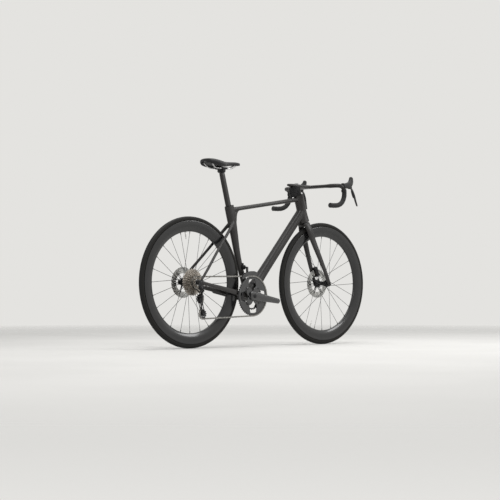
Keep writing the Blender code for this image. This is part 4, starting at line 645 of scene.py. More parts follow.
# Carbon forms
HEAD_LOW_Z, HEAD_LENGTH = 0.676, 0.155
SEAT_TOP_Z, POST_TOP_Z = 0.742, 0.922
SHELL_HALF, SHELL_RADIUS = 0.04325, 0.026
SEAT_TUBE_DEEP, SEAT_TUBE_WIDE = 0.0185, 0.014
DOWN_TUBE_DEEP, DOWN_TUBE_WIDE = 0.025, 0.022
POST_DEEP, POST_WIDE, POST_LEAN = 0.0165, 0.0105, -0.12
TOP_TUBE_SHARE, DOWN_TUBE_SHARE = 0.81, 0.36  # of the head tube's length, where their lines meet it
SEATSTAY_JOIN_Z = 0.655
STEERER_TOP_Z, STEM_TOP_Z = 0.8805, 0.881
STEER_BASE = pivot_of("steering")


def seat_point(z):
    """The point at that height on the line of the seat tube."""
    return CRANK_CENTRE + SEAT_UP * ((z - CRANK_CENTRE.z) / SEAT_UP.z)


def steer_point(z):
    """The point at that height on the steering axis."""
    return STEER_BASE + STEER_UP * ((z - STEER_BASE.z) / STEER_UP.z)


HEAD_LOW = steer_point(HEAD_LOW_Z)
HEAD_HIGH = HEAD_LOW + STEER_UP * HEAD_LENGTH
SEAT_TOP = seat_point(SEAT_TOP_Z)
FORK_CROWN = HEAD_LOW - STEER_UP * 0.0115
BAR_CLAMP = Vector((0.393, 0.0, 0.873))


def relaxed(mesh, rounds):
    """Rounds of plain smoothing make fillets; even rounds then take out ripples without shrinking."""
    even_rounds = 8
    count = len(mesh.vertices)
    places = np.empty(count * 3)
    mesh.vertices.foreach_get("co", places)
    places = places.reshape(-1, 3)
    edges = np.empty(len(mesh.edges) * 2, dtype=np.int64)
    mesh.edges.foreach_get("vertices", edges)
    ends = edges.reshape(-1, 2)
    here = np.concatenate([ends[:, 0], ends[:, 1]])
    there = np.concatenate([ends[:, 1], ends[:, 0]])
    links = np.maximum(np.bincount(here, minlength=count), 1)[:, None]

    def pulled(points, share):
        total = np.stack([np.bincount(here, weights=points[there, k], minlength=count) for k in range(3)], 1)
        return points + (total / links - points) * share

    for _ in range(rounds):
        places = pulled(places, 0.5)
    for _ in range(even_rounds):
        places = pulled(pulled(places, 0.5), -0.52)
    mesh.vertices.foreach_set("co", places.ravel())
    mesh.update()


def fused(name, pieces, voxel, rounds, look):
    """Melts overlapping shells into one skin, with fillets where they meet."""
    made = joined(name, pieces)
    melt = made.modifiers.new("melt", "REMESH")
    melt.mode = "VOXEL"
    melt.voxel_size = voxel
    made = baked(made)
    relaxed(made.data, rounds)
    made.data.materials.clear()
    made.data.materials.append(look)
    made.data.shade_smooth()
    return made


def tube_on_line(name, low, high, shape, side, up, power):
    """A tube on a straight line; shape rows are share, half along side, half along up."""
    return station_tube(name, [(low.lerp(high, t), side, a, up, b) for t, a, b in shape], 8, power, 48)


def head_tube_form():
    shape = [(0.0, 1.17, 1.16, 0.003), (0.25, 1.05, 1.0, 0.004), (0.6, 1.0, 0.97, 0.004),
             (1.0, 1.03, 1.07, 0.004)]
    rows = [(HEAD_LOW + STEER_UP * (HEAD_LENGTH * t) + STEER_AHEAD * shift, STEER_AHEAD, 0.029 * d,
             Y, 0.023 * w) for t, d, w, shift in shape]
    first, last = list(rows[0]), list(rows[-1])
    first[0], last[0] = first[0] - STEER_UP * 0.008, last[0] + STEER_UP * 0.008
    return station_tube("head", [first, *rows, last], 8, 2.2, 56)


def seat_tube_form():
    shape = [(0.04, 1.05, 1.02, 0.003), (0.15, 0.90, 1.0, 0.003), (0.32, 0.89, 0.97, -0.004),
             (0.49, 1.0, 1.0, -0.005), (0.68, 1.24, 1.06, 0.0), (0.89, 1.58, 1.18, 0.004),
             (1.0, 1.52, 1.18, 0.004), (1.02, 1.52, 1.18, 0.004)]
    rise = SEAT_TOP_Z - CRANK_CENTRE.z
    rows = [(seat_point(CRANK_CENTRE.z + rise * t) + SEAT_AHEAD * shift, SEAT_AHEAD, SEAT_TUBE_DEEP * d, Y,
             SEAT_TUBE_WIDE * w) for t, d, w, shift in shape]
    return station_tube("seat", rows, 8, 2.4, 56)


def line_from(low, high):
    """Both ends of a tube's centre line, and the way that points under it."""
    return low, high, (high - low).normalized().cross(Y) * -1.0


def down_tube_line():
    return line_from(CRANK_CENTRE + Vector((0.006, 0, -0.006)),
                     steer_point(HEAD_LOW_Z + HEAD_LENGTH * DOWN_TUBE_SHARE) - STEER_AHEAD * 0.004)


def down_tube_form():
    low, high, under = down_tube_line()
    shape = [(0.0, 1.15, 1.40), (0.12, 1.12, 1.36), (0.30, 1.0, 1.10), (0.60, 0.98, 1.0), (1.0, 0.98, 1.0)]
    rows = [(t, DOWN_TUBE_WIDE * w, DOWN_TUBE_DEEP * d) for t, d, w in shape]
    return tube_on_line("down", low, high, rows, Y, under, 2.6)


def top_tube_line():
    return line_from(seat_point(SEAT_TOP_Z - 0.021) + SEAT_AHEAD * 0.008,
                     steer_point(HEAD_LOW_Z + HEAD_LENGTH * TOP_TUBE_SHARE))


def top_tube_form():
    low, high, under = top_tube_line()
    shape = [(0.0, 1.25, 0.94), (0.11, 1.03, 0.94), (0.42, 0.97, 1.0), (0.80, 1.02, 1.12), (1.0, 1.1, 1.2)]
    return tube_on_line("top", low, high, [(t, 0.016 * w, 0.011 * h) for t, h, w in shape], Y, under, 2.5)


def gusset_form():
    """The web that rounds the corner under the top tube, where it runs into the seat tube."""
    low, high, under = top_tube_line()
    shape = [(0.0, 0.078), (0.051, 0.078), (0.0575, 0.062), (0.0635, 0.046), (0.073, 0.031), (0.087, 0.0195),
             (0.103, 0.0125), (0.123, 0.0095)]
    return station_tube("gusset", [(low.lerp(high, t) + under * (deep / 2), Y, 0.0125, under, deep / 2)
                                   for t, deep in shape], 8, 2.4, 40)


def shell_form():
    shape = ((-1.12, 0.95), (-1, 0.95), (-0.7, 1.03), (0.7, 1.03), (1, 0.95), (1.12, 0.95))
    rows = [(CRANK_CENTRE + Y * (SHELL_HALF * t), X, SHELL_RADIUS * r, Z, SHELL_RADIUS * r) for t, r in shape]
    return station_tube("shell", rows, 6, 2.0, 56)


def chainstay_form(side):
    shape = [(0.02, 0.0285, 0.0150, 0.008), (0.17, 0.0285, 0.0145, 0.008), (0.30, 0.0375, 0.0140, 0.008),
             (0.51, 0.0525, 0.0125, 0.008), (0.76, 0.0665, 0.0100, 0.006), (0.90, 0.0748, 0.0100, 0.0042),
             (0.96, 0.075, 0.0135, 0.0042), (1.02, 0.075, 0.0135, 0.0042), (1.045, 0.075, 0.0080, 0.0042)]
    return station_tube("chainstay", [(CRANK_CENTRE.lerp(REAR_AXLE, t) + Y * (side * y), Y, w, Z, h)
                                      for t, y, h, w in shape], 8, 2.8, 40)


def seatstay_form(side):
    join = seat_point(SEATSTAY_JOIN_Z)
    up = (REAR_AXLE - join).normalized().cross(Y)
    shape = [(0.0, 0.0120, 0.0120, 0.0055), (0.05, 0.0160, 0.0110, 0.0055), (0.13, 0.0225, 0.0098, 0.0050),
             (0.25, 0.0300, 0.0088, 0.0055), (0.50, 0.0445, 0.0082, 0.0055), (0.75, 0.0630, 0.0082, 0.0055),
             (0.90, 0.0715, 0.0080, 0.0045), (0.965, 0.075, 0.0078, 0.0040)]
    return station_tube("seatstay", [(join.lerp(REAR_AXLE, t) + Y * (side * y), Y, w, up, d)
                                     for t, y, d, w in shape], 8, 2.3, 40)


def carbon_frame():
    forms = [form() for form in (head_tube_form, seat_tube_form, down_tube_form, top_tube_form, gusset_form,
                                 shell_form)]
    forms += [form(side) for form in (chainstay_form, seatstay_form) for side in (1, -1)]
    frame_skin = fused("carbon_frame", forms, 0.0022, 5, CARBON)
    trimmed(frame_skin, [
        (HEAD_LOW, -STEER_UP, 0.060), (HEAD_HIGH, STEER_UP, 0.060), (SEAT_TOP, SEAT_UP, 0.060),
        (CRANK_CENTRE + Y * SHELL_HALF, Y, 0.045), (CRANK_CENTRE - Y * SHELL_HALF, -Y, 0.045)])
    settle(frame_skin, "frame", "matte_carbon", "head_tube", "top_tube", "down_tube", "seat_tube",
           "bottom_bracket_shell", "chainstay_left", "chainstay_right", "seatstay_left", "seatstay_right")


def fork_blade_form(side):
    ahead = (FRONT_AXLE - FORK_CROWN).normalized().cross(Y) * -1.0
    shape = [(0.0, 0.0215, 0.0215, 0.0085), (0.10, 0.0295, 0.0220, 0.0085), (0.28, 0.0320, 0.0200, 0.0078),
             (0.55, 0.0421, 0.0165, 0.0070), (0.78, 0.0505, 0.0140, 0.0055), (0.94, 0.054, 0.0130, 0.0042),
             (1.02, 0.054, 0.0130, 0.0042), (1.045, 0.054, 0.0080, 0.0042)]
    return station_tube("blade", [(FORK_CROWN.lerp(FRONT_AXLE, t) + Y * (side * y), ahead, d, Y, w)
                                  for t, y, d, w in shape], 8, 2.3, 44)


def carbon_fork():
    shape = [(-0.030, 0.015, 0.60), (-0.024, 0.0225, 0.95), (0.0, 0.027, 1.0), (0.024, 0.0225, 0.95),
             (0.030, 0.015, 0.60)]
    bridge = station_tube("crown", [(FORK_CROWN + Y * y, STEER_AHEAD, d, STEER_UP, 0.0105 * h)
                                    for y, d, h in shape], 8, 2.6, 48)
    skin = fused("carbon_fork", [bridge, fork_blade_form(1), fork_blade_form(-1)], 0.0020, 4, CARBON)
    steerer = rounded_rod("steerer", FORK_CROWN, steer_point(STEERER_TOP_Z), 0.0143)
    fitted("carbon_fork", [skin, steerer], CARBON, "steering", "matte_carbon", "fork")


# One side of the handlebar from the clamp's middle: forward, outward and up
DROP_LINE = [(0.007, 0.156, 0.0), (0.009, 0.172, 0.0), (0.016, 0.192, 0.0), (0.031, 0.203, -0.001),
             (0.047, 0.206, -0.007), (0.057, 0.206, -0.021), (0.060, 0.2078, -0.043), (0.052, 0.2102, -0.070),
             (0.033, 0.2126, -0.094), (0.004, 0.215, -0.108), (-0.029, 0.2168, -0.112),
             (-0.064, 0.218, -0.112)]


def drop_points(side, first=0):
    """Places down one side of the handlebar, from the given one on."""
    return [BAR_CLAMP + Vector((x, side * y, z)) for x, y, z in DROP_LINE[first:]]


def bar_and_stem():
    tops = [(0.158, 0.007, 0.0122, 0.0118), (0.120, 0.005, 0.0185, 0.0095), (0.045, 0.002, 0.0215, 0.0095)]
    tops = [(-y, x, d, h) for y, x, d, h in tops] + tops[::-1]
    tops = [(BAR_CLAMP + Vector((x, y, 0)), X, d, Z, h) for y, x, d, h in tops]
    wing = station_tube("wing", tops, 8, 2.3, 44)
    stem_shape = [(-0.168, 0.0110, 0.0058, 0.0048), (-0.150, 0.0170, 0.0080, 0.0040),
                  (-0.125, 0.0205, 0.0095, 0.0024), (-0.090, 0.0215, 0.0098, 0.0012),
                  (-0.050, 0.0225, 0.0098, 0.0006), (-0.012, 0.0300, 0.0096, 0.0),
                  (0.010, 0.0360, 0.0080, 0.0)]
    stem_shape = [(BAR_CLAMP + Vector((x, 0, rise)), Y, w, Z, h) for x, w, h, rise in stem_shape]
    stem = station_tube("stem", stem_shape, 8, 3.0, 44)
    drops = [line_tube("drop", drop_points(side), [0.0115] * 12, [0.0115] * 12, Y, 6, 2.0, 24)
             for side in (1, -1)]
    skin = fused("bar_and_stem", [wing, stem, *drops], 0.0019, 3, CARBON)
    settle(skin, "steering", "matte_carbon", "handlebar")


def aero_spacers():
    """A stack of split, tapering-tailed spacers behind the steerer, parted by hairline gaps."""
    base = HEAD_HIGH + STEER_UP * 0.001 - STEER_AHEAD * 0.0175
    tall, ease = 0.0104, 0.0008
    rows = ((0.0, ease), (ease, 0.0), (tall - ease, 0.0), (tall, ease))
    pieces = []
    for low in (0.0, 0.0108, 0.0216, 0.0324, 0.0432):
        rings = [oval(base + STEER_UP * (low + rise), STEER_AHEAD, 0.0390 - inset, Y, 0.0195 - inset, 2.2,
                      64, 0.25) for rise, inset in rows]
        pieces.append(tube_between(rings, "spacer"))
    fitted("headset_spacer_stack", pieces, BLACK, "steering", "soft_rubber", "headset_spacers")


def hex_socket_bolt(name, centre, along, radius, tall):
    """A button-head bolt with a six-sided socket."""
    along = along.normalized()
    turn = along.to_track_quat("Z", "X").to_matrix()
    sides = 24
    rings = []
    for reach, rise in ((1.0, 0.0), (1.0, 0.45), (0.93, 0.78), (0.78, 1.0), (0.56, 1.0)):
        rings.append([centre + turn @ Vector((cos(tau * i / sides) * radius * reach,
                                              sin(tau * i / sides) * radius * reach, tall * rise))
                      for i in range(sides)])
    for rise in (1.0, 0.35):
        hexagon = []
        for i in range(sides):
            angle = tau * i / sides
            flat = cos(pi / 6) / cos((angle % (pi / 3)) - pi / 6)
            hexagon.append(centre + turn @ Vector((cos(angle) * radius * 0.5 * flat,
                                                   sin(angle) * radius * 0.5 * flat, tall * rise)))
        rings.append(hexagon)
    return shade(tube_between(rings, name), 30)


def stem_cap():
    top = steer_point(STEM_TOP_Z)
    cap = turned("cap", [(0.00001, 0.0008), (0.0150, 0.0008), (0.0162, 0.0018), (0.0158, 0.0050),
                         (0.0135, 0.0066), (0.0068, 0.0072), (0.0060, 0.0066), (0.0055, 0.0045),
                         (0.00001, 0.0045)],
                 top, STEER_UP, 48, closed=False)
    bolt = hex_socket_bolt("cap_bolt", top + STEER_UP * 0.0045, STEER_UP, 0.0046, 0.0025)
    fitted("stem_top_cap", [cap], LACQUERED, "steering", "gloss_carbon", "stem_cap")
    fitted("stem_cap_bolt", [bolt], BOLT_STEEL, "steering", "black_metal")


def seatpost():
    """The aero post, from inside the seat tube up to the saddle clamp."""
    low = seat_point(SEAT_TOP_Z - 0.030)
    rise = (seat_point(POST_TOP_Z) - low).length
    rows = [(0.0, 0.0), (rise * 0.5, 0.0), (rise - 0.022, 0.0), (rise - 0.008, 0.0006),
            (rise - 0.002, 0.0022), (rise, 0.0050)]
    rings = [oval(low + SEAT_UP * up, SEAT_AHEAD, POST_DEEP - inset, Y, POST_WIDE - inset, 2.4, 56, POST_LEAN)
             for up, inset in rows]
    post = tube_between(rings, "aero_seatpost", CARBON)
    settle(post, "seatpost_group", "matte_carbon", "seatpost")


def post_collar():
    """A soft ring that seals the post in the seat tube."""
    room = 0.0012
    rows = [(-0.004, -0.0006), (0.0012, 0.0016), (0.0024, 0.0014), (0.0030, 0.0004)]
    rings = [oval(SEAT_TOP + SEAT_UP * up, SEAT_AHEAD, POST_DEEP + out + room, Y, POST_WIDE + out + room,
                  2.4, 56, POST_LEAN) for up, out in rows]
    settle(tube_between(rings, "seatpost_seal", HOOD), "frame", "soft_rubber")


def bottle_bosses():
    """Bolts in the frame where bottle cages are fixed, two on each tube."""
    low, high, under = down_tube_line()
    places = [(low.lerp(high, t) + under * (DOWN_TUBE_DEEP * h - 0.0006), under)
              for t, h in ((0.385, 0.995), (0.484, 0.985))]
    places += [(seat_point(z) + SEAT_AHEAD * (SEAT_TUBE_DEEP * d + shift - 0.0004), SEAT_AHEAD)
               for z, d, shift in ((0.418, 0.892, -0.004), (0.482, 0.955, -0.0048))]
    bolts = [hex_socket_bolt("boss", place, out, 0.0042, 0.0026) for place, out in places]
    fitted("bottle_boss_bolts", bolts, BOLT_STEEL, "frame", "black_metal")


def thru_axle(name, centre, half, body, node):
    """A hollow axle with a flush hex end on the left and a chamfered thread end on the right."""
    reach = half + 0.0100
    profile = [(0.0036, -reach), (0.0052, -reach), (0.0058, -reach + 0.0006), (0.0058, reach - 0.0030),
               (0.0086, reach - 0.0030), (0.0086, reach - 0.0008), (0.0078, reach), (0.0048, reach),
               (0.0042, reach - 0.0012), (0.0036, reach - 0.0060)]
    tube = turned(name, profile, centre, Y, 40, BLACK)
    settle(tube, body, "black_metal", node)


# Wheels
TYRE_RADIUS, TYRE_HALF = 0.339, 0.014
TREAD_ANGLE = radians(56)
RIM_NOSE = 0.261
SPOKES_PER_SIDE = 12
FLANGE_RADIUS, ROTOR_BOSS_RADIUS = 0.021, 0.016
FRONT_FLANGES, REAR_FLANGES = (0.0310, -0.0350), (0.0360, -0.0110)
ROTOR_RADIUS, ROTOR_TRACK, ROTOR_THICKNESS = 0.080, 0.014, 0.0018
FRONT_ROTOR_Y, REAR_ROTOR_Y = 0.0395, 0.0555
CARRIER_ARMS, CARRIER_TURN = 6, 0.12


def in_wheel(angle, radius, y=0.0):
    """A place at that angle and radius in the plane of a wheel, as seen from its axle."""
    return Vector((radius * cos(angle), y, radius * sin(angle)))


def tyre(name, centre, body, node):
    """A round road tyre: a slightly raised tread, thinner walls and a crease where it enters the rim."""
    core = TYRE_RADIUS - TYRE_HALF
    profile = []
    for k in range(-22, 23):
        angle = radians(5.9 * k)
        tread = abs(angle) < TREAD_ANGLE
        reach = TYRE_HALF if tread else TYRE_HALF - 0.00035
        profile.append((core + reach * cos(angle), reach * sin(angle) * 0.995))
    profile += [(0.3162, 0.0116), (0.3150, 0.0100), (0.3150, -0.0100), (0.3162, -0.0116)]
    piece = turned(name, profile, centre, Y, 192, RUBBER)
    piece.data.materials.append(SIDEWALL)
    for face in piece.data.polygons:
        if abs(face.center.y - centre.y) > TYRE_HALF * sin(TREAD_ANGLE):
            face.material_index = 1
    settle(piece, body, "tyre_rubber", node)


def rim(name, centre, body, node):
    """A deep carbon rim with bulged walls, a blunt nose and hooked edges."""
    wall = smooth_rows([(RIM_NOSE, 0.0), (RIM_NOSE + 0.0006, 0.0042), (0.2660, 0.0078), (0.2800, 0.0119),
                        (0.2960, 0.0140), (0.3085, 0.01425), (0.3155, 0.01415)], 5)
    hook = [(0.3165, 0.0138), (0.3168, 0.0130), (0.3163, 0.0121), (0.3150, 0.0119), (0.3142, 0.0112),
            (0.3110, 0.0112), (0.3100, 0.0100), (0.3092, 0.0050), (0.3088, 0.0)]
    half = [(r, y) for r, y in wall] + hook
    profile = half + [(r, -y) for r, y in half[-2:0:-1]]
    settle(turned(name, profile, centre, Y, 192, RIM), body, "gloss_carbon", node)


def spokes(name, centre, flanges, body):
    """Bladed spokes with round butted ends, each held by a short nipple at the rim."""
    made = []
    for side, flange_y in enumerate(flanges):
        for index in (0, 1):
            lead = 1 if index else -1
            rim_angle = tau * (2 * index + side) / (2 * SPOKES_PER_SIDE)
            foot = in_wheel(rim_angle + lead * radians(62), FLANGE_RADIUS - 0.002,
                            flange_y + lead * 0.0008)
            tip = in_wheel(rim_angle, RIM_NOSE + 0.004, copysign(0.0015, flange_y))
            along = (tip - foot).normalized()
            across = (along.cross(Y)).normalized()
            shares = (0.0, 0.03, 0.07, 0.90, 0.94, 1.0)
            blade = line_tube("spoke", [foot.lerp(tip, t) for t in shares],
                              (0.0010, 0.0010, 0.0012, 0.0012, 0.0010, 0.0010),
                              (0.0010, 0.0010, 0.00062, 0.00062, 0.0010, 0.0010), across, 2, 2.0, 10)
            head = rounded_rod("head", foot - along * 0.0016, foot + along * 0.0008, 0.0019, 0.0005, 12)
            nipple = rounded_rod("nipple", tip - along * 0.0135, tip, 0.0019, 0.0003, 8)
            group = joined("spoke_pair", [blade, head, nipple])
            made.append(around("spokes", group, SPOKES_PER_SIDE // 2, centre, SPOKE_STEEL))
    fitted(name, made, SPOKE_STEEL, body, "black_metal")


def hub(name, centre, left, right, rotor_y, flanges, body, node, freehub=False):
    """A turned hub shell: flared flanges drilled for the spokes, a waisted middle and stepped end caps."""
    inner = 0.0067
    near, far = flanges
    outer = [(0.0086, left), (0.0095, left - 0.0008), (0.0095, rotor_y + 0.0046), (0.0148, rotor_y + 0.0044),
             (0.0156, rotor_y + 0.0034), (0.0156, rotor_y + 0.0010), (ROTOR_BOSS_RADIUS, rotor_y + 0.0008),
             (ROTOR_BOSS_RADIUS, near + 0.0046), (0.0180, near + 0.0034),
             (FLANGE_RADIUS - 0.0005, near + 0.0020), (FLANGE_RADIUS, near + 0.0014),
             (FLANGE_RADIUS, near - 0.0014), (FLANGE_RADIUS - 0.0005, near - 0.0020), (0.0172, near - 0.0030),
             (0.0142, near - 0.0062), (0.0122, near - 0.0120), (0.0116, (near + far) / 2),
             (0.0122, far + 0.0120), (0.0142, far + 0.0062), (0.0172, far + 0.0030),
             (FLANGE_RADIUS - 0.0005, far + 0.0020), (FLANGE_RADIUS, far + 0.0014),
             (FLANGE_RADIUS, far - 0.0014), (FLANGE_RADIUS - 0.0005, far - 0.0020)]
    if freehub:
        outer += [(0.0165, far - 0.0032), (0.0165, right + 0.0006), (0.0155, right)]
    else:
        outer += [(0.0145, far - 0.0030), (0.0118, far - 0.0060), (0.0095, far - 0.0070),
                  (0.0095, right + 0.0008), (0.0086, right)]
    profile = [(inner, left), *outer, (inner, right)]
    shell = turned(name, profile, centre, Y, 64, BLACK)
    settle(shell, body, "black_metal", node)


def rotor(name, centre, finish, body, node):
    """A ground steel track with slanted vents, bright cooling fins inside it and a black riveted carrier."""
    def near_arm(angle):
        """1 in the middle of a carrier arm, 0 from a quarter of the way to the next."""
        return max(0.0, cos(CARRIER_ARMS * (angle - CARRIER_TURN)))

    arm_turns = [tau * k / CARRIER_ARMS + CARRIER_TURN for k in range(CARRIER_ARMS)]
    outer = wavy_ring(180, lambda angle: ROTOR_RADIUS - 0.0011 * max(0.0, cos(12 * angle)) ** 3)
    inner = wavy_ring(144, lambda angle: ROTOR_RADIUS - ROTOR_TRACK - 0.0030 * near_arm(angle) ** 8)
    vents = []
    for k in range(24):
        for radius, shift, long in ((0.0768, 0.0, 0.0034), (0.0728, 0.055, 0.0040), (0.0690, 0.11, 0.0034)):
            turn = tau * k / 24 + shift
            middle = Vector((radius * cos(turn), radius * sin(turn)))
            along = Vector((cos(turn + 0.75), sin(turn + 0.75)))
            across = Vector((-along.y, along.x))
            loop = []
            for end in (1, -1):
                for step in range(5):
                    bend = pi * (step / 4 - 0.5)
                    point = middle + along * (end * (long / 2 + 0.0010 * cos(bend))) + across * (
                        end * 0.0010 * sin(bend))
                    loop.append((point.x, point.y))
            vents.append(loop)
    track = plate("track", outer, [inner, *vents], ROTOR_THICKNESS, centre, edge=0.00015)
    fitted(name, [track], finish, body, "steel", node)

    arms = wavy_ring(216, lambda angle: 0.0205 + 0.0435 * near_arm(angle) ** 2.2)
    corners = ((0.0285, -0.10), (0.0500, -0.035), (0.0500, 0.035), (0.0285, 0.10))
    windows = [[polar(reach, turn + aside) for reach, aside in corners] for turn in arm_turns]
    carrier = plate("carrier", arms, [ring_points(ROTOR_BOSS_RADIUS + 0.0003, 48), *windows], 0.0018, centre)
    ring = turned("lock", [(0.0118, 0.0030), (0.0165, 0.0030), (0.0176, 0.0022), (0.0176, 0.0014),
                           (0.0118, 0.0014)],
                  centre, Y, 48)
    rivets = []
    for turn in arm_turns:
        place = centre + in_wheel(turn, 0.0632)
        rivets.append(rounded_rod("rivet", place - Y * 0.0009, place + Y * 0.0009, 0.0024, 0.0003, 16))
    corners = ((0.0505, -0.022), (0.0585, -0.004), (0.0585, 0.026), (0.0505, 0.014))
    slots = [[polar(reach, tau * k / 36 + aside) for reach, aside in corners] for k in range(36)]
    fins = plate("fins", ring_points(0.0652, 120), [ring_points(0.0478, 120), *slots], 0.0016, centre,
                 edge=0.0002)
    fitted(name + "_fins", [fins], FIN_ALLOY, body, "steel")
    fitted(name + "_carrier", [carrier, ring], BLACK, body, "black_metal")
    fitted(name + "_rivets", rivets, VALVE_ALLOY, body, "steel")


def valve(name, centre, turn, body):
    """A long valve with its lock nut on the rim and a small knurled tip."""
    up = in_wheel(turn, 1.0)
    base = centre + up * (RIM_NOSE + 0.001)
    stem = rounded_rod("stem", base, base - up * 0.030, 0.0030, 0.0003, 20)
    nut = rounded_rod("nut", base - up * 0.0005, base - up * 0.0042, 0.0050, 0.0006, 8)
    neck = rounded_rod("neck", base - up * 0.0295, base - up * 0.0345, 0.0014, 0.0002, 12)
    tip = rounded_rod("tip", base - up * 0.0335, base - up * 0.0385, 0.0022, 0.0006, 14)
    fitted(name, [stem, nut, neck, tip], VALVE_ALLOY, body, "steel")


def wheels():
    tyre("front_road_tyre", FRONT_AXLE, "front_wheel", "front_tyre")
    tyre("rear_road_tyre", REAR_AXLE, "rear_wheel", "rear_tyre")
    rim("front_carbon_rim", FRONT_AXLE, "front_wheel", "front_rim")
    rim("rear_carbon_rim", REAR_AXLE, "rear_wheel", "rear_rim")
    hub("front_hub_shell", FRONT_AXLE, 0.0496, -0.0496, FRONT_ROTOR_Y, FRONT_FLANGES,
        "front_wheel", "front_hub")
    hub("rear_hub_shell", REAR_AXLE, 0.0706, -0.0171, REAR_ROTOR_Y, REAR_FLANGES,
        "rear_wheel", "rear_hub", freehub=True)
    spokes("front_spokes", FRONT_AXLE, FRONT_FLANGES, "front_wheel")
    spokes("rear_spokes", REAR_AXLE, REAR_FLANGES, "rear_wheel")
    rotor("front_brake_rotor", FRONT_AXLE + Y * FRONT_ROTOR_Y, FRONT_ROTOR_STEEL,
          "front_wheel", "front_rotor")
    rotor("rear_brake_rotor", REAR_AXLE + Y * REAR_ROTOR_Y, REAR_ROTOR_STEEL,
          "rear_wheel", "rear_rotor")
    valve("front_valve", FRONT_AXLE, radians(247.5), "front_wheel")
    valve("rear_valve", REAR_AXLE, radians(97.5), "rear_wheel")
    thru_axle("front_hollow_axle", FRONT_AXLE, 0.050, "steering", "front_thru_axle")
    thru_axle("rear_hollow_axle", REAR_AXLE, 0.071, "frame", "rear_thru_axle")


# Gears, cranks and chain
CHAIN_PITCH, CHAIN_LINE = 0.0127, 0.047
COG_TEETH = (11, 12, 13, 14, 15, 17, 19, 21, 24, 27, 30, 34)
CHAIN_COG = 3
COG_SPACING, COG_THICKNESS = 0.0035, 0.0016
OUTER_TEETH, INNER_TEETH, PULLEY_TEETH = 52, 36, 12
CRANK_LENGTH = 0.1725
CRANK_FORWARD = Vector((cos(radians(9)), 0, -sin(radians(9))))
ARM_ROOT_Y, ARM_TIP_Y = 0.0594, 0.0664
BOLT_ANGLES, BOLT_CIRCLE = [radians(48 + 90 * k) for k in range(4)], 0.055
GUIDE = pivot_of("guide_pulley_spin")
TENSION = pivot_of("tension_pulley_spin")
CAGE_AXIS = pivot_of("rd_cage_swing")


def pitch_radius(teeth):
    """The radius at which a wheel with that many teeth carries the chain's pins."""
    return CHAIN_PITCH / (2 * sin(pi / teeth))


def sprocket_outline(teeth, phase=0.0, rise=0.0012, root=0.0040):
    """Teeth with rounded valleys for the rollers and blunt tips."""
    radius, points = pitch_radius(teeth), []
    shape = ((-0.50, -root), (-0.38, -root * 0.86), (-0.29, -root * 0.45), (-0.21, -0.0002), (-0.13, rise),
             (0.0, rise * 1.05), (0.13, rise), (0.21, -0.0002), (0.29, -root * 0.45), (0.38, -root * 0.86))
    for tooth in range(teeth):
        for share, reach in shape:
            angle = tau * (tooth + share) / teeth + phase
            points.append(polar(radius + reach, angle))
    return points


def cog_y(index):
    """The middle plane of a cog, counted from the smallest."""
    return -CHAIN_LINE + (index - CHAIN_COG) * COG_SPACING


def cassette():
    """Twelve stamped cogs, the larger ones cut away on arms and riveted, with spacers and a lock ring."""
    cogs = []
    for index, teeth in enumerate(COG_TEETH):
        radius = pitch_radius(teeth)
        holes = [ring_points(0.0172 if index > 2 else 0.0150, 40)]
        if radius > 0.036:
            low, high, arms = 0.0235, radius - 0.0088, 6
            for k in range(arms):
                start = tau * k / arms + index * 0.16
                span = tau / arms * 0.62
                holes.append([polar(high, start + span * s / 6) for s in range(7)]
                             + [polar(low, start + span * (0.88 - 0.76 * s / 4)) for s in range(5)])
        cogs.append(plate("cog", sprocket_outline(teeth, 0.17 * index), holes, COG_THICKNESS,
                          REAR_AXLE + Y * cog_y(index), edge=0.00025))
    fitted("cassette_cogs", cogs, COG_STEEL, "cassette_group", "cog_steel", "cassette")
    core = [(0.0068, -0.0179), (0.0170, -0.0179)]
    for index in range(11, 0, -1):
        face = cog_y(index) - COG_THICKNESS / 2
        reach = 0.0218 if index > 3 else 0.0186
        core += [(reach, face - 0.0001), (reach, cog_y(index - 1) + COG_THICKNESS / 2 + 0.0001)]
    core += [(0.0160, cog_y(0)), (0.0160, -0.0583), (0.0068, -0.0583)]
    core_piece = turned("core", core, REAR_AXLE, Y, 48)
    fitted("cassette_spacers", [core_piece], DARK, "cassette_group", "black_metal")
    ring = turned("lock_ring", [(0.0125, -0.0584), (0.0172, -0.0584), (0.0180, -0.0592), (0.0176, -0.0604),
                                (0.0135, -0.0606), (0.0125, -0.0598)], REAR_AXLE, Y, 64)
    cap = turned("end_cap", [(0.0068, -0.0560), (0.0102, -0.0560), (0.0102, -0.0598), (0.0095, -0.0604),
                             (0.0095, -0.0700), (0.0088, -0.0706), (0.0068, -0.0706)], REAR_AXLE, Y, 48)
    fitted("cassette_lock_ring", [ring], VALVE_ALLOY, "cassette_group", "steel")
    fitted("freehub_end_cap", [cap], BLACK, "cassette_group", "black_metal")


